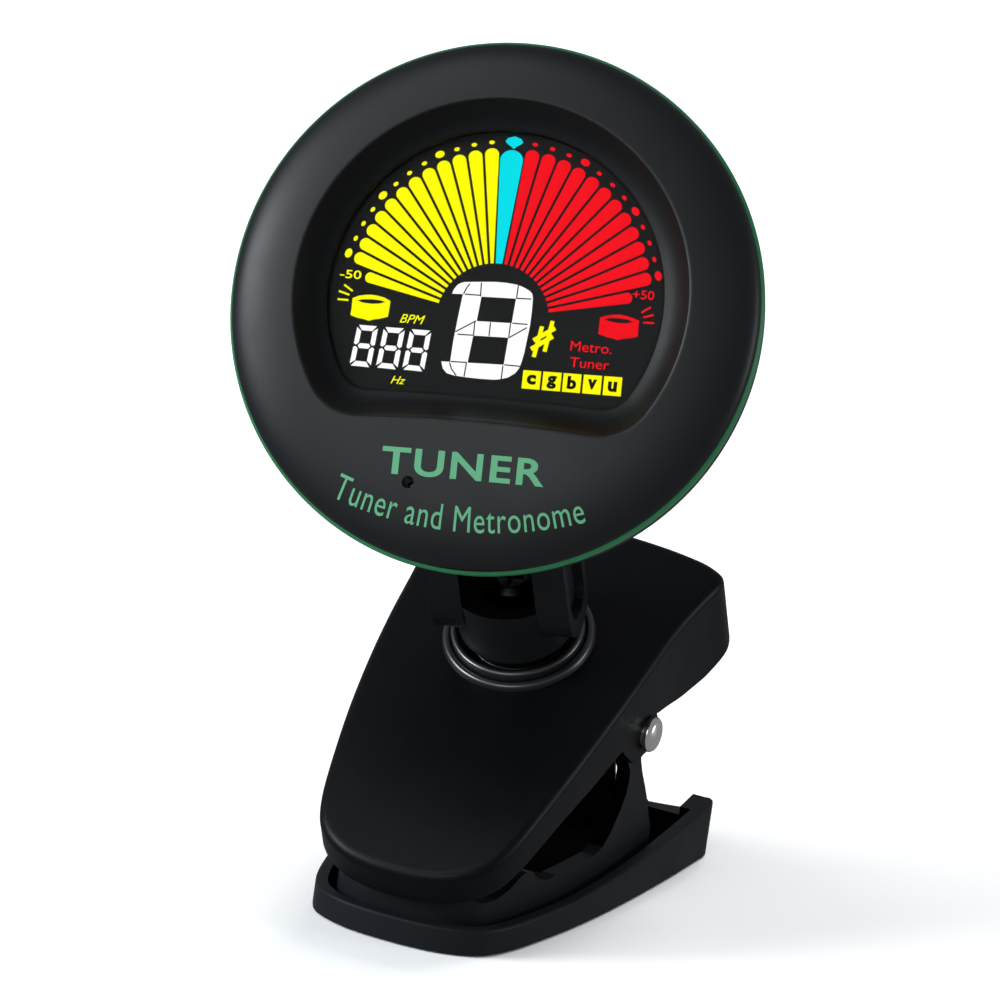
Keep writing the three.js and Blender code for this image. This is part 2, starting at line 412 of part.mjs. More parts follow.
// rear cover: shallow dish with screw pillars, knuckle, door bed and button holes
const rearOuterPts = [[0, RIM_BACK], [26.95, RIM_BACK], [27.0, -3.2], [26.5, -5.3], [25.2, -7.1], [23.0, -8.5], [20.0, BACK_Z], [0, BACK_Z]].reverse();
const rearOuter = lathe(rearOuterPts, SEG);
let rear = rearOuter.subtract(lathe([[0, -1], [25.3, -1], [25.3, -4.2], [24.0, -6.2], [21.5, -7.6], [19, -7.9], [0, -7.9]].reverse(), SEG));
// knuckle on the back
const knuckleSide = [[-26.2, -6.5], [-14.2, -8.6], [-14.6, -10.2], [TILT_Y + KNUCKLE_R, TILT_Z + 0.2],
  ...Array.from({ length: 13 }, (_, i) => { const t = -Math.PI * (i) / 12; return [TILT_Y + KNUCKLE_R * Math.cos(t), TILT_Z + KNUCKLE_R * Math.sin(t)]; }),
  [TILT_Y - KNUCKLE_R - 0.2, TILT_Z + 2.0], [-25.2, -8.4]];
rear = rear.add(prismX(knuckleSide, -KNUCKLE_HALF, KNUCKLE_HALF).subtract(lathe([[0, -1], [24.4, -1], [24.4, -5.6], [24.0, -6.2], [21.5, -7.6], [19, -7.9], [0, -7.9]].reverse(), SEG)));
rear = rear.subtract(cylX(1.4, -10, 10, TILT_Y, TILT_Z, 28));
for (const [x, y] of SCREW_AT) {
  rear = rear.add(cylZ(2.6, 2.6, -8.3, -3.2, x, y, 16).intersect(rearOuter));
  rear = rear.subtract(cylZ(1.25, 1.25, -20, 0, x, y, 12)).subtract(cylZ(2.15, 2.15, -20, -7.3, x, y, 16));
}
// bed for the sliding door, open at the top edge, and the cell's hole
const DOOR_HALF = 11.4, DOOR_Y0 = -8.6, DOOR_Z = -8.45;
rear = rear.subtract(box(-DOOR_HALF - 0.15, DOOR_HALF + 0.15, DOOR_Y0 - 0.15, 40, -20, DOOR_Z + 0.1));
rear = rear.subtract(cylZ(CELL_R + 0.35, CELL_R + 0.35, -20, -4, 0, CELL_Y, 28)).subtract(box(-3, 3, CELL_Y + CELL_R - 1, CELL_Y + CELL_R + 1.1, -20, -4.2));
for (const [x, y] of Object.values(BUTTONS)) rear = rear.subtract(cylZ(BUTTON_R + 0.2, BUTTON_R + 0.2, -20, -4.2, x, y, 16));
add(head, 'rear_cover', rear, satin);

// sliding battery door: follows the cover's outer shape, thumb ribs near its lower edge
let door = rearOuter.intersect(box(-DOOR_HALF, DOOR_HALF, DOOR_Y0, 40, -20, DOOR_Z));
for (let i = 0; i < 4; i++) door = door.add(box(-4.5 + 0.3 * i, 4.5 - 0.3 * i, DOOR_Y0 + 1.6 + i * 1.1, DOOR_Y0 + 2.1 + i * 1.1, BACK_Z - 0.35, BACK_Z + 0.3));
add(head, 'battery_door', door, satin);

// buttons: a cap with a collar inside, pressing a switch on the board
let k = 0;
for (const [name, [x, y]] of Object.entries(BUTTONS)) {
  k += 1;
  add(head, name, lathe([[0, -10.15], [1.9, -10.1], [BUTTON_R, -9.6], [BUTTON_R, -7.0], [1.2, -7.0], [1.2, -6.35], [0, -6.35]], 16).translate([x, y, 0]), rubber);
  add(head, 'switch_' + k, box(x - 2.1, x + 2.1, y - 2.1, y + 2.1, -5.3, -4.2).add(cylZ(0.9, 0.9, -5.75, -5.2, x, y, 10)), dark);
}
// case screws
SCREW_AT.forEach(([x, y], i) => {
  add(head, 'case_screw_' + (i + 1), lathe([[0, -8.75], [1.3, -8.7], [1.8, -8.4], [1.8, -7.5], [1.0, -7.5], [1.0, -0.9], [0, -0.9]], 10)
    .subtract(box(-1.1, 1.1, -0.25, 0.25, -9.5, -8.2)).subtract(box(-0.25, 0.25, -1.1, 1.1, -9.5, -8.2)).translate([x, y, 0]), dark);
});

export default root;
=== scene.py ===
"""Clip-on instrument tuner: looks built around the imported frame.

Work is done in millimetres in the part's own axes (root, clip, yoke, head) and
each finished mesh is carried into the row frame in metres.
"""
import math

import bmesh
import bpy
import numpy as np
from mathutils import Matrix, Vector


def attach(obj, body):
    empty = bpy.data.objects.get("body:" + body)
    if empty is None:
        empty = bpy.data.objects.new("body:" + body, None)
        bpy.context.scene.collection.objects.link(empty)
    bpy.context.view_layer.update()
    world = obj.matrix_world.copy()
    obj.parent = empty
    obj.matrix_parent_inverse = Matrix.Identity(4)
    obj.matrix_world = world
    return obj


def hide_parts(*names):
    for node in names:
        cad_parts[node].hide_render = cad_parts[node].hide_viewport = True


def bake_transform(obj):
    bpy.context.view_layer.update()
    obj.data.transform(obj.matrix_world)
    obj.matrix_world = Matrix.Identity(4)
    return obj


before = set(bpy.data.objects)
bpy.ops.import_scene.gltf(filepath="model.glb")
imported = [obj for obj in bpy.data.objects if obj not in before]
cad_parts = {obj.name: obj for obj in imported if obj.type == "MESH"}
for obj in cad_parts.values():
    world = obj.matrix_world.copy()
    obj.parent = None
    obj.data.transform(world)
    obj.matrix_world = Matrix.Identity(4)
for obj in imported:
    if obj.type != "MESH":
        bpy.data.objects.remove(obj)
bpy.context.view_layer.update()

rad = math.radians

# ------------------------------------------------------------------ the axes
JAW_ANGLE, SWIVEL_REST, HEAD_LEAN = rad(31.77), rad(12.0), rad(33.36)
CLIP_Y, CLIP_Z = -2.65, 26.07
PIVOT_Z, PIVOT_S, PIVOT_N = 18.7, -1.63, -7.66
HEAD_U, HEAD_N = 6.05, 42.7
MM = Matrix.Scale(0.001, 4)
M_ROOT = MM.copy()
M_CLIP = MM @ Matrix.Translation((0, CLIP_Y, CLIP_Z)) @ Matrix.Rotation(JAW_ANGLE, 4, "X")
M_YOKE = M_CLIP @ Matrix.Rotation(SWIVEL_REST, 4, "Z")
M_HEAD = M_YOKE @ Matrix.Translation((0, HEAD_U, HEAD_N)) @ Matrix.Rotation(HEAD_LEAN, 4, "X")

LOWER, UPPER, YOKE, HEAD = "lower_jaw_body", "upper_jaw_body", "yoke_body", "head_body"

# ---------------------------------------------------------------- the camera
scene = bpy.context.scene
cam_data = bpy.data.cameras.new("camera")
cam_data.sensor_width = 36.0
cam_data.lens = 343.86
cam_data.clip_start, cam_data.clip_end = 0.01, 20.0
cam = bpy.data.objects.new("camera", cam_data)
scene.collection.objects.link(cam)
c_r = Vector((0.91323871, 0.38406034, 0.13598794))
c_u = Vector((-0.2348846, 0.22357511, 0.94596163))
c_d = Vector((0.33290282, -0.89583025, 0.2943873))
cam.matrix_world = Matrix((
    (c_r.x, c_u.x, c_d.x, 0.32306), (c_r.y, c_u.y, c_d.y, -0.88350),
    (c_r.z, c_u.z, c_d.z, 0.32957), (0, 0, 0, 1)))
scene.camera = cam

# ------------------------------------------------------------------ materials
def material(name, base, rough, metal=0.0, spec=0.5, coat=0.0, coat_rough=0.1,
             vary=0.0, vary_scale=120.0, grain=0.0, grain_scale=9000.0,
             tint=None, emission=None, strength=0.0, alpha=None, stretch=None,
             edge=None, sheen=0.0):
    """Principled material whose roughness, colour and fine relief come from noise."""
    m = bpy.data.materials.new(name)
    m.use_nodes = True
    nt = m.node_tree
    b = nt.nodes["Principled BSDF"]
    b.inputs["Base Color"].default_value = (*base, 1)
    b.inputs["Roughness"].default_value = rough
    b.inputs["Metallic"].default_value = metal
    b.inputs["Specular IOR Level"].default_value = spec
    b.inputs["Coat Weight"].default_value = coat
    b.inputs["Coat Roughness"].default_value = coat_rough
    if sheen:
        b.inputs["Sheen Weight"].default_value = sheen
    if emission is not None:
        b.inputs["Emission Color"].default_value = (*emission, 1)
        b.inputs["Emission Strength"].default_value = strength
    if alpha is not None:
        b.inputs["Alpha"].default_value = alpha
    co = nt.nodes.new("ShaderNodeTexCoord")
    mp = nt.nodes.new("ShaderNodeMapping")
    if stretch:
        mp.inputs["Scale"].default_value = stretch
    nt.links.new(co.outputs["Object"], mp.inputs["Vector"])
    if vary:
        n = nt.nodes.new("ShaderNodeTexNoise")
        n.inputs["Scale"].default_value = vary_scale
        n.inputs["Detail"].default_value = 5.0
        n.inputs["Roughness"].default_value = 0.6
        nt.links.new(mp.outputs["Vector"], n.inputs["Vector"])
        r = nt.nodes.new("ShaderNodeMapRange")
        r.inputs["From Min"].default_value, r.inputs["From Max"].default_value = 0.3, 0.7
        r.inputs["To Min"].default_value = max(0.02, rough - vary)
        r.inputs["To Max"].default_value = min(1.0, rough + vary)
        nt.links.new(n.outputs["Fac"], r.inputs["Value"])
        nt.links.new(r.outputs["Result"], b.inputs["Roughness"])
    if tint is not None:
        n2 = nt.nodes.new("ShaderNodeTexNoise")
        n2.inputs["Scale"].default_value = vary_scale * 2.3
        n2.inputs["Detail"].default_value = 3.0
        nt.links.new(mp.outputs["Vector"], n2.inputs["Vector"])
        mx = nt.nodes.new("ShaderNodeMix")
        mx.data_type = "RGBA"
        mx.inputs[6].default_value = (*base, 1)
        mx.inputs[7].default_value = (*tint, 1)
        nt.links.new(n2.outputs["Fac"], mx.inputs[0])
        nt.links.new(mx.outputs[2], b.inputs["Base Color"])
    if grain:
        g = nt.nodes.new("ShaderNodeTexNoise")
        g.inputs["Scale"].default_value = grain_scale
        g.inputs["Detail"].default_value = 2.0
        nt.links.new(mp.outputs["Vector"], g.inputs["Vector"])
        bp = nt.nodes.new("ShaderNodeBump")
        bp.inputs["Strength"].default_value = grain
        bp.inputs["Distance"].default_value = 0.00003
        nt.links.new(g.outputs["Fac"], bp.inputs["Height"])
        nt.links.new(bp.outputs["Normal"], b.inputs["Normal"])
    return m


MAT = {
    # one black plastic in two copies: the top copy darker as painted shade, the lower copy lighter as painted light
    # standing in for the floor's reflection
    "clip_top": material("clip_black_top_shaded", (0.0013, 0.0016, 0.0023), 0.42, spec=0.11, vary=0.04, vary_scale=160, grain=0.16, grain_scale=7000, tint=(0.0017, 0.0021, 0.0029)),
    "lower": material("clip_black_lower", (0.0068, 0.0078, 0.0096), 0.46, spec=0.09, vary=0.05, vary_scale=150, grain=0.16, grain_scale=7000, tint=(0.0080, 0.0091, 0.0112)),
    "yoke": material("yoke_black", (0.0048, 0.0056, 0.0066), 0.40, spec=0.26, vary=0.05, vary_scale=200, grain=0.12, grain_scale=8000, tint=(0.0058, 0.0067, 0.0079)),
    "collar": material("collar_black", (0.0040, 0.0046, 0.0056), 0.34, spec=0.95, vary=0.04, vary_scale=220, grain=0.06, tint=(0.0050, 0.0056, 0.0068)),
    "case": material("case_satin_black", (0.0040, 0.0050, 0.0058), 0.42, spec=0.20, vary=0.04, vary_scale=90, grain=0.14, grain_scale=9000, tint=(0.0048, 0.0059, 0.0068)),
    # the case's satin black made darker for the recess: painted shade on the recess's slopes
    "recess": material("recess_painted_shade_black", (0.0020, 0.0026, 0.0032), 0.45, spec=0.13, vary=0.04, vary_scale=90, grain=0.12, tint=(0.0026, 0.0032, 0.0039)),
    "green": material("rim_green", (0.010, 0.098, 0.037), 0.40, spec=0.22, vary=0.05, vary_scale=140, grain=0.12, tint=(0.014, 0.118, 0.046)),
    # printed green ink, with a faint emission added: a painted glow
    "print": material("print_green_glow", (0.075, 0.245, 0.130), 0.50, spec=0.10, vary=0.05, vary_scale=500, tint=(0.083, 0.270, 0.146), emission=(0.085, 0.270, 0.150), strength=0.06),
    "rubber": material("pad_rubber", (0.012, 0.012, 0.013), 0.78, spec=0.35, vary=0.08, vary_scale=300, grain=0.5, grain_scale=5000, tint=(0.020, 0.020, 0.021)),
    "button": material("button_rubber", (0.016, 0.017, 0.018), 0.62, spec=0.4, vary=0.06, vary_scale=260, grain=0.35, grain_scale=6000, tint=(0.022, 0.023, 0.024)),
    "glyph": material("button_mark", (0.30, 0.33, 0.31), 0.6, spec=0.3, vary=0.06, vary_scale=700, tint=(0.36, 0.39, 0.37)),
    "nickel": material("nickel_steel", (0.86, 0.84, 0.81), 0.24, metal=1.0, vary=0.06, vary_scale=700, grain=0.10, grain_scale=5000, tint=(0.78, 0.755, 0.72)),
    # spring steel darkened as painted shade, so it stays black where it shows in the gap between the jaws
    "spring": material("spring_wire_shaded", (0.16, 0.16, 0.165), 0.36, metal=1.0, vary=0.08, vary_scale=900, grain=0.2, grain_scale=4000, tint=(0.10, 0.10, 0.105)),
    "screw": material("dark_screw", (0.20, 0.20, 0.21), 0.30, metal=1.0, vary=0.08, vary_scale=900, grain=0.2, tint=(0.14, 0.14, 0.15)),
    "lens": material("smoked_lens", (0.001, 0.001, 0.001), 0.10, spec=0.2, alpha=0.035, vary=0.03, vary_scale=60),
    "lcd": material("display_black", (0.0026, 0.0029, 0.0029), 0.5, spec=0.06, vary=0.04, vary_scale=120, tint=(0.0030, 0.0033, 0.0032), emission=(0.0033, 0.0036, 0.0036), strength=0.12),
    "white": material("diffuser_white", (0.72, 0.73, 0.74), 0.55, vary=0.05, vary_scale=200, tint=(0.66, 0.67, 0.68)),
    "pcb": material("board_green", (0.012, 0.12, 0.045), 0.35, coat=0.4, vary=0.06, vary_scale=300, grain=0.15, tint=(0.018, 0.15, 0.06)),
    "brass": material("brass_strip", (0.72, 0.52, 0.22), 0.28, metal=1.0, vary=0.08, vary_scale=500, grain=0.12, tint=(0.62, 0.44, 0.18)),
    "cell": material("cell_steel", (0.66, 0.66, 0.65), 0.24, metal=1.0, vary=0.07, vary_scale=500, grain=0.15, tint=(0.58, 0.58, 0.57)),
    "switch": material("switch_black", (0.015, 0.015, 0.017), 0.5, vary=0.06, vary_scale=400, grain=0.2, tint=(0.022, 0.022, 0.024)),
    "lit_yellow": material("lit_yellow", (0.02, 0.02, 0.0), 0.7, spec=0.0, emission=(1.0, 0.98, 0.0), strength=1.07, vary=0.05, vary_scale=400),
    "lit_red": material("lit_red", (0.02, 0.0, 0.0), 0.7, spec=0.0, emission=(0.87, 0.004, 0.011), strength=1.07, vary=0.05, vary_scale=400),
    "lit_cyan": material("lit_cyan", (0.0, 0.02, 0.02), 0.7, spec=0.0, emission=(0.0, 0.72, 0.80), strength=1.07, vary=0.05, vary_scale=400),
    "lit_white": material("lit_white", (0.02, 0.02, 0.02), 0.7, spec=0.0, emission=(1.0, 1.0, 1.0), strength=1.07, vary=0.05, vary_scale=400),
    # painted shade: a near-black laid on the yoke's bowl and the insides of both jaws
    "painted_shade": material("painted_shade_black", (0.0009, 0.0010, 0.0013), 0.7, spec=0.0, vary=0.05, vary_scale=200, grain=0.1, tint=(0.0013, 0.0014, 0.0018)),
    # swivel screw darkened to sit near black in the bowl: painted shade
    "oxide": material("screw_painted_shade", (0.030, 0.031, 0.034), 0.34, metal=1.0, vary=0.06, vary_scale=900, grain=0.15, tint=(0.020, 0.021, 0.023)),
    "unlit": material("unlit_segment", (0.003, 0.003, 0.003), 0.7, spec=0.0, vary=0.05, vary_scale=400),
}

# ------------------------------------------------------------ mesh workshop
def tmp(verts, faces):
    me = bpy.data.meshes.new("tmp")
    me.from_pydata([tuple(map(float, v)) for v in verts], [], [tuple(f) for f in faces])
    me.validate()
    o = bpy.data.objects.new("tmp", me)
    scene.collection.objects.link(o)
    return o


def outward(o):
    """Turns the faces outwards."""
    bm = bmesh.new()
    bm.from_mesh(o.data)
    bmesh.ops.remove_doubles(bm, verts=bm.verts, dist=1e-5)
    bmesh.ops.recalc_face_normals(bm, faces=bm.faces)
    if bm.calc_volume(signed=True) < 0:
        bmesh.ops.reverse_faces(bm, faces=bm.faces)
    bm.to_mesh(o.data)
    bm.free()
    return o


def baked(o):
    """Applies the modifiers."""
    bpy.context.view_layer.update()
    dg = bpy.context.evaluated_depsgraph_get()
    me = bpy.data.meshes.new_from_object(o.evaluated_get(dg))
    o.modifiers.clear()
    old = o.data
    o.data = me
    bpy.data.meshes.remove(old)
    return o


def boolean(a, b, op="DIFFERENCE", keep=False):
    m = a.modifiers.new("b", "BOOLEAN")
    m.solver = "MANIFOLD"
    m.operation = op
    m.object = b
    baked(a)
    if not keep:
        bpy.data.objects.remove(b)
    return a


def cut(a, *bs):
    for b in bs:
        boolean(a, b, "DIFFERENCE")
    return a


def join(a, *bs):
    for b in bs:
        boolean(a, b, "UNION")
    return a


def common(a, *bs):
    for b in bs:
        boolean(a, b, "INTERSECT")
    return a


def bevel(o, width, segments=3, angle=35, clamp=True):
    m = o.modifiers.new("v", "BEVEL")
    m.width = width
    m.segments = segments
    m.limit_method = "ANGLE"
    m.angle_limit = rad(angle)
    m.use_clamp_overlap = clamp
    m.harden_normals = False
    m.miter_outer = "MITER_ARC"
    return baked(o)


def tidy(o, dist=0.004, flat=0.05):
    """Drops slivers left by cutting, so that edges round off cleanly."""
    bm = bmesh.new()
    bm.from_mesh(o.data)
    bmesh.ops.remove_doubles(bm, verts=bm.verts, dist=dist)
    bmesh.ops.dissolve_limit(bm, angle_limit=rad(flat), use_dissolve_boundaries=False,
                             verts=bm.verts, edges=bm.edges, delimit={"NORMAL"})
    bm.to_mesh(o.data)
    bm.free()
    return o


made = []


def piece(o, name, M, body, mat, stands=(), smooth=38, weigh=True):
    """Carries a finished mesh into the row frame and hooks it to its body."""
    o.name = name
    o.data.name = name
    o.data.transform(M)
    if M.determinant() < 0:
        o.data.flip_normals()
    o.data.materials.clear()
    for mm_ in (mat if isinstance(mat, (list, tuple)) else [mat]):
        o.data.materials.append(MAT[mm_])
    o.data.shade_smooth()
    o.data.set_sharp_from_angle(angle=rad(smooth))
    if weigh:
        w = o.modifiers.new("w", "WEIGHTED_NORMAL")
        w.mode = "FACE_AREA"
        w.weight = 50
        w.keep_sharp = True
        baked(o)
        o.data.name = name
    if body:
        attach(o, body)
    if stands:
        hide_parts(*stands)
    made.append(o)
    return o


def painted_shade_faces(o, test):
    """Painted shade: the faces that the test picks (centre, normal) take the second, near-black material."""
    o.data.polygons.foreach_set("material_index", [1 if test(f.center * 1.0, f.normal * 1.0) else 0 for f in o.data.polygons])
    return o


def merged(objs):
    """One object out of several that do not overlap."""
    bm = bmesh.new()
    for o in objs:
        bm.from_mesh(o.data)
    me = bpy.data.meshes.new("tmp")
    bm.to_mesh(me)
    bm.free()
    for o in objs:
        bpy.data.objects.remove(o)
    r = bpy.data.objects.new("tmp", me)
    scene.collection.objects.link(r)
    return r


def fillet(pts, r, n=5, closed=False):
    """Rounds the corners of a polyline; r is one radius or one per corner."""
    out, N = [], len(pts)
    for i, p in enumerate(pts):
        ri = r[i] if isinstance(r, (list, tuple)) else r
        if (not closed and i in (0, N - 1)) or ri <= 0:
            out.append(tuple(p))
            continue
        a, b = Vector(pts[i - 1]), Vector(pts[(i + 1) % N])
        p = Vector(p)
        u, v = a - p, b - p
        lu, lv = u.length, v.length
        if lu < 1e-9 or lv < 1e-9:
            out.append(tuple(p))
            continue
        u.normalize(), v.normalize()
        ang = math.acos(max(-1, min(1, u.dot(v))))
        if ang > rad(176):
            out.append(tuple(p))
            continue
        t = min(ri / math.tan(ang / 2), 0.49 * lu, 0.49 * lv)
        rr = t * math.tan(ang / 2)
        s, e = p + u * t, p + v * t
        c = p + (u + v).normalized() * (rr / math.sin(ang / 2))
        a0 = math.atan2(s.y - c.y, s.x - c.x)
        a1 = math.atan2(e.y - c.y, e.x - c.x)
        d = (a1 - a0 + math.pi) % (2 * math.pi) - math.pi
        for k in range(n + 1):
            th = a0 + d * k / n
            out.append((c.x + rr * math.cos(th), c.y + rr * math.sin(th)))
    return out


def spline(pts, n):
    """Smooth curve through the points, n + 1 evenly spaced samples."""
    P = np.array(pts, float)
    E = np.vstack([2 * P[0] - P[1], P, 2 * P[-1] - P[-2]])
    dense = []
    for i in range(1, len(E) - 2):
        p0, p1, p2, p3 = E[i - 1], E[i], E[i + 1], E[i + 2]
        for t in np.linspace(0, 1, 40, endpoint=False):
            dense.append(0.5 * ((2 * p1) + (-p0 + p2) * t + (2 * p0 - 5 * p1 + 4 * p2 - p3) * t * t
                                + (-p0 + 3 * p1 - 3 * p2 + p3) * t ** 3))
    dense.append(P[-1])
    return even(np.array(dense), n)


def even(P, n, closed=False):
    P = np.array(P, float)
    if closed:
        P = np.vstack([P, P[:1]])
    L = np.r_[0, np.cumsum(np.linalg.norm(np.diff(P, axis=0), axis=1))]
    s = np.linspace(0, L[-1], n + 1)
    if closed:
        s = s[:-1]
    return np.stack([np.interp(s, L, P[:, k]) for k in range(P.shape[1])], 1)


def lathe(pts, seg=128):
    """Body of revolution about z; points with r = 0 close it on the axis."""
    verts, faces, rings = [], [], []
    cs = [(math.cos(2 * math.pi * i / seg), math.sin(2 * math.pi * i / seg)) for i in range(seg)]
    for r, z in pts:
        if r < 1e-7:
            rings.append([len(verts)])
            verts.append((0, 0, z))
        else:
            rings.append(list(range(len(verts), len(verts) + seg)))
            verts += [(r * c, r * s, z) for c, s in cs]
    open_ends = len(rings[0]) > 1
    pairs = list(zip(rings, rings[1:])) + ([(rings[-1], rings[0])] if open_ends else [])
    for a, b in pairs:
        for i in range(seg):
            j = (i + 1) % seg
            if len(a) == 1 and len(b) == 1:
                break
            if len(a) == 1:
                faces.append((a[0], b[j], b[i]))
            elif len(b) == 1:
                faces.append((a[i], a[j], b[0]))
            else:
                faces.append((a[i], a[j], b[j], b[i]))
    return outward(tmp(verts, faces))


def prism(outline, z0, z1, M=None):
    n = len(outline)
    verts = [(x, y, z0) for x, y in outline] + [(x, y, z1) for x, y in outline]
    faces = [tuple(range(n))[::-1], tuple(range(n, 2 * n))]
    faces += [(i, (i + 1) % n, n + (i + 1) % n, n + i) for i in range(n)]
    o = tmp(verts, faces)
    if M is not None:
        o.data.transform(M)
    return outward(o)


YZX = Matrix(((0, 0, 1, 0), (1, 0, 0, 0), (0, 1, 0, 0), (0, 0, 0, 1)))


def prismX(outline, x0, x1):
    """Outline in (y, z), carried across x."""
    return prism(outline, x0, x1, YZX)


def box(x0, x1, y0, y1, z0, z1):
    return prism([(x0, y0), (x1, y0), (x1, y1), (x0, y1)], z0, z1)


def cyl(r, z0, z1, x=0, y=0, seg=64, r1=None):
    r1 = r if r1 is None else r1
    o = lathe([(0, z0), (r, z0), (r1, z1), (0, z1)], seg)
    o.data.transform(Matrix.Translation((x, y, 0)))
    return o


def along_x(o, x, y, z, sign=1):
    """Turns a z-axis body to lie along +x or -x at the given place."""
    o.data.transform(Matrix.Translation((x, y, z)) @ Matrix.Rotation(rad(90) * sign, 4, "Y"))
    return o


def rings(sections, closed_loop=False, caps=(True, True)):
    """Skin over rings of equal point count, each a list of (x, y, z)."""
    n = len(sections[0])
    verts = [p for s in sections for p in s]
    faces = []
    k = len(sections)
    for a in range(k if closed_loop else k - 1):
        b = (a + 1) % k
        for i in range(n):
            j = (i + 1) % n
            faces.append((a * n + i, a * n + j, b * n + j, b * n + i))
    if not closed_loop:
        if caps[0]:
            faces.append(tuple(range(n))[::-1])
        if caps[1]:
            faces.append(tuple(range((k - 1) * n, k * n)))
    return outward(tmp(verts, faces))


def inset(P, d):
    """Closed outline moved inwards by d (anticlockwise outline)."""
    P = np.array(P, float)
    T = np.roll(P, -1, 0) - np.roll(P, 1, 0)
    T /= np.linalg.norm(T, axis=1)[:, None]
    return P + np.stack([-T[:, 1], T[:, 0]], 1) * d


def tube(path, r, sides=14):
    """Round wire along a path, flat ends."""
    P = np.array(path, float)
    T = np.gradient(P, axis=0)
    T /= np.linalg.norm(T, axis=1)[:, None]
    nrm = np.cross(T[0], (0.3, 0.2, 0.9))
    nrm /= np.linalg.norm(nrm)
    secs = []
    for p, t in zip(P, T):
        nrm = nrm - t * (nrm @ t)
        nrm /= np.linalg.norm(nrm)
        b = np.cross(t, nrm)
        secs.append([tuple(p + r * (math.cos(a) * nrm + math.sin(a) * b))
                     for a in np.linspace(0, 2 * math.pi, sides, endpoint=False)])
    return rings(secs)


# ===================================================================== HEAD
HEAD_R, RIM_R, DOME, BACK_Z = 27.0, 27.4, 3.4, -9.4
RECESS_CY, RIDGE_R, WINDOW_R, WINDOW_Z = 0.74, 20.17, 17.22, 0.7
TILT_Y, TILT_Z = -19.2, -14.5


def dome_z(r):
    return DOME * math.sqrt(max(0.0, 1 - (r / HEAD_R) ** 4))


def d_shape(R, cy, yb, sag, rc, arc_n=200, bot_n=80):
    """Circle with a cut-off bottom that bows upwards, corners rounded."""
    a0 = math.asin((yb - cy) / R)
    xb = R * math.cos(a0)
    arc = [(R * math.cos(t), cy + R * math.sin(t)) for t in np.linspace(a0, math.pi - a0, arc_n + 1)]
    bot = []
    for i in range(1, bot_n):
        x = -xb + 2 * xb * i / bot_n
        bot.append((x, yb + sag * (1 - (x / xb) ** 2)))
    far = lambda p: math.hypot(abs(p[0]) - xb, p[1] - yb) > rc
    A, B = [p for p in arc if far(p)], [p for p in bot if far(p)]

    def bez(p, c, q, n=14):
        return [tuple((1 - t) ** 2 * p[k] + 2 * t * (1 - t) * c[k] + t * t * q[k] for k in (0, 1))
                for t in np.linspace(0, 1, n + 2)[1:-1]]
    return A + bez(A[-1], (-xb, yb), B[0]) + B + bez(B[-1], (xb, yb), A[0])


def by_angle(P, angles, c):
    """Distance from c to the outline along each angle."""
    P = np.array(P) - c
    a = np.unwrap(np.arctan2(P[:, 1], P[:, 0]))
    r = np.hypot(P[:, 0], P[:, 1])
    o = np.argsort(a % (2 * math.pi))
    a, r = (a % (2 * math.pi))[o], r[o]
    a, r = np.r_[a - 2 * math.pi, a, a + 2 * math.pi], np.r_[r, r, r]
    return np.interp(angles, a, r)


C0 = np.array([0.0, RECESS_CY])
NA = 360
ANG = np.linspace(0, 2 * math.pi, NA, endpoint=False)
ridge = by_angle(d_shape(RIDGE_R, RECESS_CY, -12.85, 0.9, 3.0), ANG, C0)
WIN = d_shape(WINDOW_R, RECESS_CY, -9.7, 0.35, 1.9)
window = by_angle(WIN, ANG, C0)
U = np.stack([np.cos(ANG), np.sin(ANG)], 1)
# distance from C0 out to the head's circle
bq = U @ C0
outer = -bq + np.sqrt(bq ** 2 - (C0 @ C0) + HEAD_R ** 2)


def smin(a, b, k):
    h = max(k - abs(a - b), 0.0) / k
    return min(a, b) - h * h * h * k / 6.0


def slope_z(q):
    return WINDOW_Z + 0.697 * q + 1.353 * q * q


def face_z(x, y):
    """Height of the bezel's front at a point of the face outside the recess."""
    return dome_z(math.hypot(x, y))


def bezel_ring(dist, zf):
    return [(C0[0] + U[i][0] * dist[i], C0[1] + U[i][1] * dist[i], zf(i, dist[i])) for i in range(NA)]


secs = [bezel_ring(window, lambda i, d: -0.1), bezel_ring(window, lambda i, d: 0.55),
        bezel_ring(window + 0.02, lambda i, d: 0.64), bezel_ring(window + 0.07, lambda i, d: 0.69)]
for q in list(np.linspace(0.05, 0.85, 11)) + list(np.linspace(0.89, 1.30, 15)):
    d = window + (ridge - window) * q

    def zf(i, dist, q=q):
        x, y = C0 + U[i] * dist
        return smin(dome_z(math.hypot(x, y)), slope_z(q), 0.42)
    secs.append(bezel_ring(d, zf))
start = window + (ridge - window) * 1.30
for t in np.linspace(0, 1, 26)[1:]:
    s = math.sin(t * math.pi / 2) ** 1.0
    d = start + (outer - start) * s

    def zf(i, dist):
        x, y = C0 + U[i] * dist
        return max(dome_z(min(HEAD_R, math.hypot(x, y))), 0.06)
    secs.append(bezel_ring(d, zf))
secs.append(bezel_ring(outer, lambda i, d: -0.02))
secs.append(bezel_ring(outer - 0.03, lambda i, d: -0.07))
secs.append(bezel_ring(outer - 0.10, lambda i, d: -0.10))
bezel = rings(secs, closed_loop=True)
cut(bezel, cyl(0.62, -1, 6, -6.1, -19.0, 40))
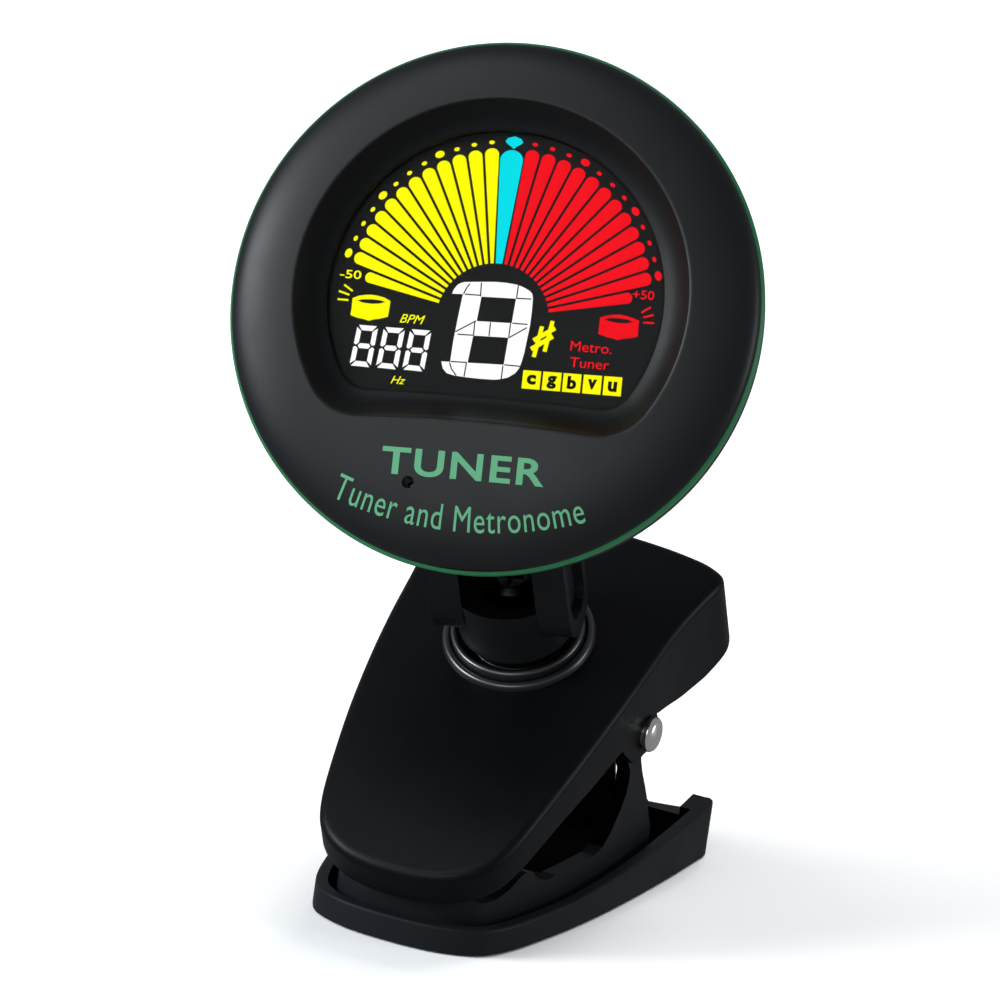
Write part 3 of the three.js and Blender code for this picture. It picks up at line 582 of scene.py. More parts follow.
# faces inside the ridge take the darker material: painted shade in the recess
recess_shade_faces = []
for f in bezel.data.polygons:
    dx, dy = f.center[0] - C0[0], f.center[1] - C0[1]
    k_ = math.atan2(dy, dx) % (2 * math.pi) / (2 * math.pi) * NA
    rr_ = float(np.interp(k_, np.arange(NA + 1), np.r_[ridge, ridge[0]]))
    recess_shade_faces.append(math.hypot(dx, dy) < rr_ * 0.998)
piece(bezel, "bezel_shell", M_HEAD, HEAD, ["case", "recess"], ["front_bezel"], smooth=50, weigh=False)
bezel.data.polygons.foreach_set("material_index", [int(v) for v in recess_shade_faces])

# fixing pillars inside the front, seen only if the head is taken apart
pill = [cut(cyl(2.0, -2.9, -0.05, x, y, 32), cyl(1.25, -4, -0.6, x, y, 24)) for x, y in
        ((15.2, 15.2), (-15.2, 15.2), (-15.2, -15.2), (15.2, -15.2))]
piece(merged(pill), "bezel_pillars", M_HEAD, HEAD, "case")

# coloured rim
rim = lathe(fillet([(25.6, -0.13), (27.04, -0.13), (27.30, -0.42), (27.32, -0.98), (27.12, -1.85), (27.05, -2.14), (25.6, -2.14)],
                   [0, 0.1, 0.22, 0.4, 0.3, 0.1, 0], 5, True), 256)
piece(rim, "rim_band", M_HEAD, HEAD, "green", ["trim_ring"])

# window lens
lens_outline = inset(even(WIN, 220, True), 0.10)
lens = prism([tuple(p) for p in lens_outline], -0.35, 0.60)
bevel(lens, 0.08, 3, 50)
piece(lens, "lens_window", M_HEAD, HEAD, "lens", ["display_lens"])

# ---- lit segments, a film over the panel
GZ0, GZ1 = -0.44, -0.405
FAN = (-0.23, -1.28)


def plate(poly, z0=GZ0, z1=GZ1, holes=()):
    o = prism(poly, z0, z1)
    for h in holes:
        cut(o, prism(h, z0 - 0.5, z1 + 0.5))
    return o


def tip_r(a):
    """Reach of the fan's circle from the fan's middle at angle a."""
    cx, cy, R = 0.45, 2.12, 15.62
    u = (math.sin(a), math.cos(a))
    k = cx * u[0] + cy * u[1]
    return k + math.sqrt(R * R - cx * cx - cy * cy + k * k)


def bar(a, half, r0, r1, gap):
    """One segment of the fan: a wedge with a rounded tip."""
    u, v = (math.sin(a), math.cos(a)), (math.cos(a), -math.sin(a))
    w0 = max(0.10, r0 * math.tan(half) - gap)
    wr = (r1) * math.tan(half) - gap
    cap = wr * 0.85
    rs = r1 - cap
    w1 = rs * math.tan(half) - gap
    pts = [(r0, -w0), (r0, w0), (rs, w1)]
    pts += [(rs + cap * math.sin(t), w1 * math.cos(t)) for t in np.linspace(0, math.pi, 13)[1:-1]]
    pts.append((rs, -w1))
    return [(FAN[0] + u[0] * r + v[0] * w, FAN[1] + u[1] * r + v[1] * w) for r, w in pts]


def spot(a, r, w, h, n=14):
    u, v = (math.sin(a), math.cos(a)), (math.cos(a), -math.sin(a))
    return [(FAN[0] + u[0] * (r + h * math.sin(t)) + v[0] * w * math.cos(t),
             FAN[1] + u[1] * (r + h * math.sin(t)) + v[1] * w * math.cos(t))
            for t in np.linspace(0, 2 * math.pi, n, endpoint=False)]


yellow, red, cyan, white, unlit = [], [], [], [], []
PITCH = rad(5.746)
for side, bucket in ((-1, yellow), (1, red)):
    for k in range(13):
        a = side * (rad(4.10) + (k + 0.5) * PITCH)
        r1 = tip_r(a)
        last = k == 12
        if last:
            r1 = 13.9 if side < 0 else 14.4
        bucket.append(plate(bar(a, PITCH / 2, 5.8, r1, 0.135)))
        if not last:
            big = k % 4 == 3
            bucket.append(plate(spot(a, tip_r(a) + (0.72 if big else 0.60), 0.50 if big else 0.29, 0.36 if big else 0.20)))
cyan.append(plate(bar(0, rad(4.55), 5.8, 17.49, 0.13)))
cyan.append(plate([(-1.07, 17.06), (-0.84, 17.42), (-0.15, 17.64), (0.5, 17.42), (0.76, 17.06), (0.55, 16.86), (0.13, 16.61), (-0.15, 16.33), (-0.45, 16.58), (-0.86, 16.83)]))


def smooth_closed(P, n):
    P = np.array(P, float)
    E = np.vstack([P[-1:], P, P[:2]])
    dense = []
    for i in range(1, len(E) - 2):
        p0, p1, p2, p3 = E[i - 1], E[i], E[i + 1], E[i + 2]
        for t in np.linspace(0, 1, 12, endpoint=False):
            dense.append(0.5 * ((2 * p1) + (-p0 + p2) * t + (2 * p0 - 5 * p1 + 4 * p2 - p3) * t * t
                                + (-p0 + 3 * p1 - 3 * p2 + p3) * t ** 3))
    return [tuple(p) for p in even(dense, n, True)]


# large letter cell: eight with serifs, split by thin dark gaps
BIG = [(-4.64, 1.05), (-4.49, 1.53), (-4.2, 1.98), (-3.85, 2.22), (-3.48, 2.34), (-2.46, 2.44), (-1.28, 2.54), (-0.27, 2.62),
       (0.76, 2.61), (1.88, 2.51), (2.45, 2.35), (3.22, 2.01), (3.53, 1.73), (3.66, 1.28), (3.71, -0.08), (3.70, -1.44),
       (3.64, -2.2), (3.56, -3.0), (3.45, -4.35), (3.27, -5.39), (3.10, -6.0), (2.75, -6.52), (2.1, -6.98), (1.44, -7.21),
       (0.78, -7.33), (-0.75, -7.37), (-2.21, -7.33), (-3.41, -7.26), (-4.20, -7.08), (-4.66, -6.63), (-4.89, -5.93),
       (-3.98, -5.91), (-3.96, -4.99), (-3.92, -3.63), (-3.84, -2.68), (-3.71, -0.97), (-3.52, 1.10)]
HOLE1 = [(-1.60, 1.00), (1.95, 1.09), (1.81, -1.45), (-1.79, -1.53)]
HOLE2 = [(-1.96, -3.03), (1.65, -2.95), (1.51, -5.74), (-2.2, -5.84)]
big = plate(BIG, holes=[HOLE1, HOLE2])
white.append(big)
CUTS = [[(-1.77, 2.41), (-1.70, 1.02)], [(2.03, 2.45), (2.0, 1.10)], [(-3.30, 1.10), (-1.66, 1.12)],
        [(2.02, 1.12), (3.50, 1.17)], [(-3.46, 1.12), (-3.23, 1.72), (-2.94, 2.2)], [(-3.81, -2.80), (-1.86, -1.52)],
        [(-3.55, -3.04), (-2.02, -3.01)], [(-1.96, -1.62), (-1.93, -3.02)], [(-0.35, -1.55), (-0.34, -2.95)],
        [(1.7, -1.50), (1.68, -2.90)], [(1.88, -1.44), (3.42, -1.44)], [(1.70, -2.96), (3.40, -1.78)],
        [(-3.92, -5.87), (-2.28, -5.83)], [(1.57, -5.74), (3.15, -5.76)], [(-2.31, -5.90), (-2.38, -7.28)],
        [(1.44, -5.84), (1.44, -7.22)], [(-4.03, -5.98), (-3.76, -6.62), (-3.20, -7.24)]]


def stroke(path, w, z0, z1):
    out = []
    for a, b in zip(path, path[1:]):
        a, b = Vector(a), Vector(b)
        t = (b - a).normalized()
        n = Vector((-t.y, t.x)) * w / 2
        a, b = a - t * w * 0.1, b + t * w * 0.1
        out.append(prism([tuple(a - n), tuple(b - n), tuple(b + n), tuple(a + n)], z0, z1))
    return out


for c in CUTS:
    for s in stroke(c, 0.125, GZ1 - 0.001, GZ1 + 0.012):
        unlit.append(s)

# sharp sign
sharp_parts = []
for a, b, w in (((4.93, -1.55), (4.47, -4.65), 0.42), ((5.94, -0.91), (5.50, -4.01), 0.42),
                ((4.28, -2.99), (6.25, -1.59), 0.46), ((4.13, -3.89), (6.12, -2.45), 0.46)):
    sharp_parts += stroke([a, b], w, GZ0, GZ1)
sharp = sharp_parts[0]
join(sharp, *sharp_parts[1:])
yellow.append(sharp)


# three small seven-segment digits
def quad_map(q, u, v):
    """(u, v) in the unit cell to the slanted cell with corners TL, TR, BR, BL."""
    tl, tr, br, bl = [Vector(p) for p in q]
    return tuple((tl * (1 - u) + tr * u) * (1 - v) + (bl * (1 - u) + br * u) * v)


def seven(q, tx=0.235, ty=0.125, g=0.022):
    h = 0.5
    e = 0.045
    segs = [
        [(e + g, 0), (1 - e - g, 0), (1 - tx * 0.98 - g, ty), (tx * 0.98 + g, ty)],
        [(e + g, 1), (tx * 0.98 + g, 1 - ty), (1 - tx * 0.98 - g, 1 - ty), (1 - e - g, 1)],
        [(tx * .75 + g, h), (tx * 1.15 + g, h - ty * .48), (1 - tx * 1.15 - g, h - ty * .48), (1 - tx * .75 - g, h),
         (1 - tx * 1.15 - g, h + ty * .48), (tx * 1.15 + g, h + ty * .48)],
        [(0, e + g * .4), (tx * 0.95, ty + g), (tx * 0.95, h - ty * .55 - g * .2), (tx * .45, h - g * .8), (0, h - ty * .35 - g * .2)],
        [(1, e + g * .4), (1, h - ty * .35 - g * .2), (1 - tx * .45, h - g * .8), (1 - tx * 0.95, h - ty * .55 - g * .2), (1 - tx * 0.95, ty + g)],
        [(0, 1 - e - g * .4), (0, h + ty * .35 + g * .2), (tx * .45, h + g * .8), (tx * 0.95, h + ty * .55 + g * .2), (tx * 0.95, 1 - ty - g)],
        [(1, 1 - e - g * .4), (1 - tx * 0.95, 1 - ty - g), (1 - tx * 0.95, h + ty * .55 + g * .2), (1 - tx * .45, h + g * .8), (1, h + ty * .35 + g * .2)]]
    return [plate([quad_map(q, u, v) for u, v in s]) for s in segs]


for q in ([(-13.89, -2.93), (-11.76, -2.92), (-12.05, -7.17), (-14.24, -7.14)],
          [(-11.16, -2.93), (-8.99, -2.91), (-9.30, -7.16), (-11.52, -7.12)],
          [(-8.45, -2.92), (-6.26, -2.91), (-6.56, -7.14), (-8.81, -7.10)]):
    white += seven(q)

# drum marks with their beats
for body_, hole, rays_, bucket in (
        ([(-14.76, -0.27), (-14.16, 0.03), (-13.35, 0.20), (-12.8, 0.24), (-12.2, 0.20), (-11.49, 0.06), (-10.84, -0.24),
          (-10.86, -1.02), (-10.91, -1.86), (-11.71, -2.13), (-12.35, -2.26), (-12.8, -2.45), (-13.35, -2.30), (-14.07, -2.22),
          (-14.78, -2.00), (-14.73, -1.35)],
         [(-14.24, -0.46), (-13.72, -0.30), (-12.79, -0.21), (-11.94, -0.24), (-11.33, -0.39), (-11.9, -0.58), (-12.73, -0.68), (-13.68, -0.63)],
         [((-15.77, 1.03), (-14.86, 0.47)), ((-16.23, 0.35), (-15.15, 0.05)), ((-16.27, -0.49), (-15.18, -0.50))], yellow),
        ([(10.72, -0.10), (11.3, 0.13), (11.97, 0.28), (12.65, 0.36), (13.34, 0.29), (14.05, 0.12), (14.72, -0.09), (14.72, -0.83),
          (14.76, -1.72), (13.85, -1.98), (13.2, -2.09), (12.77, -2.25), (12.3, -2.13), (11.57, -2.02), (10.72, -1.78), (10.74, -0.97)],
         [(11.21, -0.23), (11.73, -0.07), (12.6, -0.02), (13.49, -0.07), (14.15, -0.25), (13.54, -0.46), (12.66, -0.51), (11.77, -0.43)],
         [((14.86, 0.75), (15.72, 1.36)), ((15.11, 0.28), (16.1, 0.61)), ((15.18, -0.25), (16.25, -0.21))], red)):
    bucket.append(plate(body_, holes=[hole]))
    for r_ in rays_:
        bucket += stroke(list(r_), 0.19, GZ0, GZ1)


def words(text, x0, x1, y0, y1, z0, z1, shear=0.0, bold=0.0, spacing=1.0, res=4):
    """Lettering in the built-in face, as a closed plate fitted to a box."""
    cu = bpy.data.curves.new("t", "FONT")
    cu.body = text
    cu.size = 1.0
    cu.shear = shear
    cu.offset = bold
    cu.space_character = spacing
    cu.resolution_u = res
    cu.extrude = 0.5
    t = bpy.data.objects.new("t", cu)
    scene.collection.objects.link(t)
    bpy.context.view_layer.update()
    dg = bpy.context.evaluated_depsgraph_get()
    me = bpy.data.meshes.new_from_object(t.evaluated_get(dg))
    bpy.data.objects.remove(t)
    co = np.array([v.co for v in me.vertices])
    lo, hi = co.min(0), co.max(0)
    o = bpy.data.objects.new("tmp", me)
    scene.collection.objects.link(o)
    for v in me.vertices:
        v.co = (x0 + (v.co.x - lo[0]) / (hi[0] - lo[0]) * (x1 - x0),
                y0 + (v.co.y - lo[1]) / (hi[1] - lo[1]) * (y1 - y0),
                z0 + (v.co.z - lo[2]) / (hi[2] - lo[2]) * (z1 - z0))
    bm = bmesh.new()
    bm.from_mesh(me)
    bmesh.ops.remove_doubles(bm, verts=bm.verts, dist=1e-4)
    bm.to_mesh(me)
    bm.free()
    return o


yellow.append(words("-50", -16.35, -14.15, 1.72, 2.60, GZ0, GZ1, bold=0.01))
red.append(words("+50", 13.75, 15.95, 2.10, 3.02, GZ0, GZ1, bold=0.01))
yellow.append(words("BPM", -9.65, -7.08, -2.33, -1.44, GZ0, GZ1, shear=0.35))
yellow.append(words("Hz", -9.80, -8.30, -8.60, -7.82, GZ0, GZ1, shear=0.35))
red.append(words("Metro.", 8.08, 12.32, -3.74, -2.70, GZ0, GZ1))
red.append(words("Tuner", 8.20, 12.22, -5.38, -4.36, GZ0, GZ1))
Q = [(3.58, -6.10), (13.71, -5.99), (13.76, -7.93), (3.60, -7.97)]
for (f0, f1), ch in zip(((0, .181), (.203, .388), (.408, .589), (.612, .795), (.818, 1)), "cgbvu"):
    yellow.append(plate([quad_map(Q, f0, 0), quad_map(Q, f1, 0), quad_map(Q, f1, 1), quad_map(Q, f0, 1)]))
    a, b = quad_map(Q, f0, 1), quad_map(Q, f1, 0)
    w = b[0] - a[0]
    y0, y1 = {"c": (.24, .78), "g": (.10, .80), "b": (.16, .86), "v": (.24, .78), "u": (.20, .74)}[ch]
    h = b[1] - a[1]
    unlit.append(words(ch, a[0] + .24 * w, a[0] + .76 * w, a[1] + y0 * h, a[1] + y1 * h, GZ1 - 0.001, GZ1 + 0.012, bold=0.05))
for nm, lst, mt in (("segments_yellow", yellow, "lit_yellow"), ("segments_red", red, "lit_red"), ("segments_cyan", cyan, "lit_cyan"),
                    ("segments_white", white, "lit_white"), ("segment_gaps", unlit, "unlit")):
    piece(merged(lst), nm, M_HEAD, HEAD, mt)

# ---- printed wording on the bezel, laid on its curve
def on_face(o, lift=0.018, arc=None):
    """Lays a flat plate of lettering on the domed front. arc = (centre x, centre y)."""
    bm = bmesh.new()
    bm.from_mesh(o.data)
    for _ in range(2):
        long_ = [e for e in bm.edges if e.calc_length() > 0.5]
        if long_:
            bmesh.ops.subdivide_edges(bm, edges=long_, cuts=1)
    bmesh.ops.triangulate(bm, faces=bm.faces)
    for v in bm.verts:
        x, y, top = v.co.x, v.co.y, v.co.z > 0.5
        if arc:
            cx, cy, R = arc
            t = x / R
            rr = R - y
            x, y = cx + rr * math.sin(t), cy - rr * math.cos(t)
        v.co = (x, y, face_z(x, y) + (lift if top else -0.03))
    bm.to_mesh(o.data)
    bm.free()
    return o


w1 = words("TUNER", -9.0, 7.7, -18.35, -15.60, 0.0, 1.0, bold=0.022, spacing=1.12, res=6)
piece(on_face(w1), "face_word", M_HEAD, HEAD, "print", smooth=30)
w2 = words("Tuner and Metronome", -13.7, 12.7, -0.50, 2.05, 0.0, 1.0, spacing=1.07, res=6)
piece(on_face(w2, arc=(-0.35, 14.6, 37.6)), "face_line", M_HEAD, HEAD, "print", smooth=30)

# ---- back of the head
REAR = fillet([(0, BACK_Z), (20.0, BACK_Z), (23.0, -8.5), (25.2, -7.1), (26.5, -5.3), (27.0, -3.2), (26.95, -2.3), (0, -2.3)],
              [0, 3.0, 3.0, 3.0, 3.0, 3.0, 0.12, 0], 6)


def rear_outer(seg=192):
    return lathe(REAR, seg)


rear = rear_outer()
cut(rear, lathe([(0, -1), (25.3, -1), (25.3, -4.2), (24.0, -6.2), (21.5, -7.6), (19, -7.9), (0, -7.9)], 96))
knuckle_side = [(-26.2, -6.5), (-14.2, -8.6), (-14.6, -10.2), (TILT_Y + 3.7, TILT_Z + 0.2)]
knuckle_side += [(TILT_Y + 3.7 * math.cos(-math.pi * i / 24), TILT_Z + 3.7 * math.sin(-math.pi * i / 24)) for i in range(25)]
knuckle_side += [(TILT_Y - 3.9, TILT_Z + 2.0), (-25.2, -8.4)]
kn = prismX(knuckle_side, -3.2, 3.2)
cut(kn, lathe([(0, -1), (24.4, -1), (24.4, -5.6), (24.0, -6.2), (21.5, -7.6), (19, -7.9), (0, -7.9)], 96))
join(rear, kn)
cut(rear, along_x(cyl(1.4, -10, 10, 0, 0, 48), 0, TILT_Y, TILT_Z))
SCREWS = ((15.2, 15.2), (-15.2, 15.2), (-15.2, -15.2), (15.2, -15.2))
for x, y in SCREWS:
    join(rear, common(cyl(2.6, -8.3, -3.2, x, y, 40), rear_outer(96)))
    cut(rear, cyl(1.25, -20, 0, x, y, 32), cyl(2.15, -20, -7.3, x, y, 40))
DH, DY0, DZ = 11.4, -8.6, -8.45
cut(rear, box(-DH - 0.15, DH + 0.15, DY0 - 0.15, 40, -20, DZ + 0.1))
cut(rear, cyl(10.35, -20, -4, 0, 3.0, 96), box(-3, 3, 12.0, 14.1, -20, -4.2))
BUTTONS = {"power_button": (-16.6, 6.5), "mode_button": (-16.6, -4.5), "up_button": (16.6, 6.5), "down_button": (16.6, -4.5)}
for x, y in BUTTONS.values():
    cut(rear, cyl(2.68, -20, -4.2, x, y, 48))
tidy(rear)
bevel(rear, 0.16, 2, 42)
piece(rear, "back_shell", M_HEAD, HEAD, "case", ["rear_cover"])

door = common(rear_outer(), box(-DH, DH, DY0, 40, -20, DZ))
for i in range(5):
    y = DY0 + 1.6 + i * 0.95
    join(door, box(-4.8 + 0.3 * i, 4.8 - 0.3 * i, y, y + 0.45, BACK_Z - 0.33, BACK_Z + 0.3))
tidy(door)
bevel(door, 0.13, 2, 42)
piece(door, "door_panel", M_HEAD, "battery_door_body", "case", ["battery_door"])

for nm, (x, y) in BUTTONS.items():
    cap = lathe(fillet([(0, -10.15), (2.45, -10.0), (2.5, -7.0), (1.2, -7.0), (1.2, -6.35), (0, -6.35)], [0, 0.45, 0.1, 0.1, 0.1, 0], 6), 56)
    cap.data.transform(Matrix.Translation((x, y, 0)))
    piece(cap, nm + "_cap", M_HEAD, nm + "_body", "button", [nm])
    marks = []
    z0, z1 = -10.19, -10.08
    if nm == "power_button":
        ringp = [(1.0, z0), (0.78, z0), (0.78, z1), (1.0, z1)]
        g = lathe(ringp, 40)
        cut(g, box(-0.32, 0.32, 0.3, 1.5, -11, -9))
        marks = [g, box(-0.11, 0.11, 0.25, 1.15, z0, z1)]
    elif nm == "mode_button":
        marks = [box(-0.9 + 0.7 * i, -0.5 + 0.7 * i, -0.6, 0.6, z0, z1) for i in range(3)]
    else:
        s = 1 if nm == "up_button" else -1
        marks = [prism([(-0.95, -0.55 * s), (0.95, -0.55 * s), (0, 0.85 * s)], z0, z1)]
    g = merged(marks)
    g.data.transform(Matrix.Translation((x, y, 0)))
    piece(g, nm + "_mark", M_HEAD, nm + "_body", "glyph")


def cross_head(r, top, under, sign=-1, shank=1.0, end=-0.9, seg=40):
    """Pan-headed screw with a cross recess; the head faces -z."""
    o = lathe(fillet([(0, top), (r * 0.72, top + 0.05), (r, top + 0.42), (r, under), (shank, under), (shank, end), (0, end)],
                     [0, 0.5, 0.2, 0.05, 0.05, 0.1, 0], 5), seg)
    for w, l in ((0.26, 1.15), (1.15, 0.26)):
        cut(o, box(-w, w, -l, l, top - 1, top + 0.5))
    return bevel(tidy(o), 0.04, 2, 50)


for i, (x, y) in enumerate(SCREWS):
    s = cross_head(1.8, -8.75, -7.5)
    s.data.transform(Matrix.Translation((x, y, 0)) @ Matrix.Rotation(rad(23 + 41 * i), 4, "Z"))
    piece(s, f"case_screw_{i + 1}_head", M_HEAD, HEAD, "screw", [f"case_screw_{i + 1}"])

# ===================================================================== YOKE
tilt_u = HEAD_U + TILT_Y * math.cos(HEAD_LEAN) - TILT_Z * math.sin(HEAD_LEAN)
tilt_n = HEAD_N + TILT_Y * math.sin(HEAD_LEAN) + TILT_Z * math.cos(HEAD_LEAN)
ARM_IN, ARM_OUT, ARM_R, SADDLE_N = 3.9, 7.3, 4.0, 10.6
arm_side = fillet([(-6.0, 10.2), (-5.85, 8.6), (-5.3, 7.0), (-4.4, 5.8), (-2.6, 4.6), (-0.4, 4.1), (1.2, 4.5), (2.0, 5.8), (2.0, tilt_n)],
                  [0, 1.5, 1.5, 1.5, 1.5, 1.2, 0.8, 0.8, 0], 4)
arm_side += [(tilt_u + ARM_R * math.cos(math.pi * i / 24), tilt_n + ARM_R * math.sin(math.pi * i / 24)) for i in range(1, 24)]
arm_side += [(tilt_u - ARM_R, tilt_n)]
post = lathe(fillet([(0, 0.95), (5.1, 0.95), (5.1, 2.3), (6.0, 2.5), (6.5, 6.0), (7.15, SADDLE_N), (0, SADDLE_N)],
                    [0, 0.1, 0.1, 0.35, 3.0, 0, 0], 5), 128)
join(post, cyl(3.0, -2.3, 1.2, 0, 0, 48))
arms = prismX(arm_side, -ARM_OUT, ARM_OUT)
cut(arms, box(-ARM_IN, ARM_IN, -20, 20, -5, 60))
drop = [(-4.2, 8.4), (-3.4, 7.4), (-1.2, 6.5), (0.2, 6.8), (0.9, 8.0), (1.05, tilt_n)]
drop += [(tilt_u + 3.05 * math.cos(math.pi * i / 16), tilt_n + 3.05 * math.sin(math.pi * i / 16)) for i in range(1, 16)]
drop += [(tilt_u - 3.05, tilt_n), (-5.0, 12.0), (-4.7, 10.0)]
drop = fillet(drop, 0.7, 4, True)
join(post, arms)
cut(post, common(lathe([(0, 7.6), (2.7, 7.6), (3.2, 8.2), (6.3, SADDLE_N + 0.1), (6.3, 14), (0, 14)], 96), box(-ARM_IN, ARM_IN, -20, 20, -5, 60)))
cut(post, cyl(1.65, -10, 30, 0, 0, 32))
cut(post, along_x(cyl(1.4, -20, 20, 0, 0, 40), 0, tilt_u, tilt_n))
cut(post, prismX(drop, ARM_OUT - 1.0, 20), prismX(drop, -20, -ARM_OUT + 1.0))
tidy(post)
bevel(post, 0.30, 4, 40)
piece(post, "yoke_fork", M_YOKE, YOKE, ["yoke", "painted_shade"], ["yoke"])
Y_INV = M_YOKE.inverted()
# painted shade on the bowl between the arms
painted_shade_faces(post, lambda c, n: (lambda p: abs(p.x) < 3.95 and p.z > 7.5 and math.hypot(p.x, p.y) < 6.55)(Y_INV @ c))

ss = lathe(fillet([(0, -5.9), (1.35, -5.9), (1.45, -5.7), (1.45, 7.75), (2.3, 7.75), (2.3, 8.75), (1.5, 9.35), (0, 9.45)],
                  [0, 0.1, 0.1, 0.05, 0.05, 0.3, 0.4, 0], 5), 56)
for w, l in ((0.28, 1.3), (1.3, 0.28)):
    cut(ss, box(-w, w, -l, l, 8.6, 10))
bevel(tidy(ss), 0.05, 2, 50)
# the screw's dark metal is painted shade for the bowl it sits in
piece(ss, "swivel_screw_body", M_YOKE, YOKE, "oxide", ["swivel_screw"])
sw = lathe(fillet([(1.6, -3.0), (4.2, -3.0), (4.2, -2.45), (1.6, -2.45)], 0.1, 3, True), 72)
piece(sw, "swivel_washer_disc", M_YOKE, YOKE, "nickel", ["swivel_washer"])


def nut(r, z0, z1, hole):
    o = prism([(r * math.cos(rad(60 * i)), r * math.sin(rad(60 * i))) for i in range(6)], z0, z1)
    common(o, lathe(fillet([(0, z0), (r * 0.93, z0), (r * 1.02, z0 + 0.25), (r * 1.02, z1 - 0.25), (r * 0.93, z1), (0, z1)], [0] * 6, 2), 64))
    cut(o, cyl(hole, z0 - 1, z1 + 1, 0, 0, 40))
    return bevel(tidy(o), 0.06, 2, 40)


piece(nut(2.9, -5.4, -3.1, 1.6), "swivel_nut_hex", M_YOKE, YOKE, "nickel", ["swivel_nut"])
ts = lathe(fillet([(0, -7.1), (1.25, -7.1), (1.25, 6.45), (2.3, 6.45), (2.3, 6.9), (1.9, 7.15), (0, 7.15)], [0, 0.12, 0.05, 0.05, 0.15, 0.15, 0], 4), 48)
for w, l in ((0.3, 1.2), (1.2, 0.3)):
    cut(ts, box(-w, w, -l, l, 6.75, 8))
bevel(tidy(ts), 0.04, 2, 50)
piece(along_x(ts, 0, tilt_u, tilt_n), "tilt_screw_body", M_YOKE, YOKE, "nickel", ["tilt_screw"])
piece(along_x(nut(2.7, 0, 0.7, 1.4), -6.42, tilt_u, tilt_n, -1), "tilt_nut_hex", M_YOKE, YOKE, "nickel", ["tilt_nut"])
for nm, sx in (("right", 1), ("left", -1)):
    w = lathe(fillet([(1.45, 0), (3.3, 0), (3.3, 0.4), (1.45, 0.4)], 0.08, 3, True), 56)
    piece(along_x(w, 3.35 * sx, tilt_u, tilt_n, sx), f"tilt_washer_{nm}_disc", M_YOKE, YOKE, "nickel", [f"tilt_washer_{nm}"])

# ================================================================ UPPER JAW
UPPER_WALL, UPPER_TOP, CROWN_R, CROWN_S, CROWN_TOP = 1.6, 2.0, 190.0, -9.0, 0.6
upper_pts = [(0, -32.95), (2.8, -32.8), (5.6, -32.15), (7.8, -31.0), (9.2, -29.7), (10.15, -28.2), (11.1, -25.2),
             (12.1, -20.0), (13.1, -13.7), (13.9, -7.0), (14.45, -0.7), (14.9, 6.5), (15.6, 11.5),
             (16.15, 14.4), (16.2, 15.5), (15.9, 16.4), (15.2, 17.0), (13.5, 17.7), (11.4, 18.1), (8.6, 18.45), (4.5, 18.7), (0, 18.8)]


def mirrored(pts, n):
    """Closed smooth outline from its right half (x >= 0), running anticlockwise."""
    full = list(pts) + [(-x, y) for x, y in reversed(pts[1:-1])]
    return smooth_closed(full, n)


def crown(s):
    return CROWN_TOP - (s - CROWN_S) ** 2 / (2 * CROWN_R)


UP_N = 320
up_out = np.array(mirrored(upper_pts, UP_N))


def relaxed(P, times):
    P = np.array(P)
    for _ in range(times):
        P = P * 0.5 + (np.roll(P, 1, 0) + np.roll(P, -1, 0)) * 0.25
    return P


def grid_cap(ring, zf, cols=28):
    """Fills a closed, left-right symmetric ring with rows running across x."""
    n = len(ring)
    half = n // 2
    verts, faces = list(map(tuple, ring)), []
    rows = []
    for i in range(half + 1):
        a, b = ring[i], ring[(n - i) % n]
        if i in (0, half):
            rows.append([i] * (cols + 1))
            continue
        row = [i]
        for k in range(1, cols):
            t = k / cols
            x, y = a[0] + (b[0] - a[0]) * t, a[1] + (b[1] - a[1]) * t
            row.append(len(verts))
            verts.append((x, y, zf(x, y)))
        row.append((n - i) % n)
        rows.append(row)
    for r0, r1 in zip(rows, rows[1:]):
        for k in range(cols):
            f = [r0[k], r0[k + 1], r1[k + 1], r1[k]]
            f = [v for m_, v in enumerate(f) if v not in f[:m_]]
            if len(f) > 2:
                faces.append(tuple(f))
    return verts, faces


def pillow(outline, top, z_low, r, steps=7, cols=28, r_low=0.0):
    """Solid with a rounded top edge of radius r over a closed outline; flat underneath."""
    outline = np.array(outline)
    n = len(outline)
    secs = [[(x, y, z_low) for x, y in outline]]
    for k in range(steps + 1):
        a = math.pi / 2 * k / steps
        o = inset(outline, r * (1 - math.cos(a)))
        secs.append([(x, y, top(x, y) - r * (1 - math.sin(a))) for x, y in o])
    verts = [p for s in secs for p in s]
    faces = [tuple(range(n))[::-1]]
    for a in range(len(secs) - 1):
        for i in range(n):
            j = (i + 1) % n
            faces.append((a * n + i, a * n + j, (a + 1) * n + j, (a + 1) * n + i))
    v2, f2 = grid_cap(secs[-1], top, cols)
    base = (len(secs) - 1) * n
    extra = len(verts)
    verts += v2[n:]
    remap = lambda i: base + i if i < n else extra + i - n
    faces += [tuple(remap(i) for i in f) for f in f2]
    return outward(tmp(verts, faces))


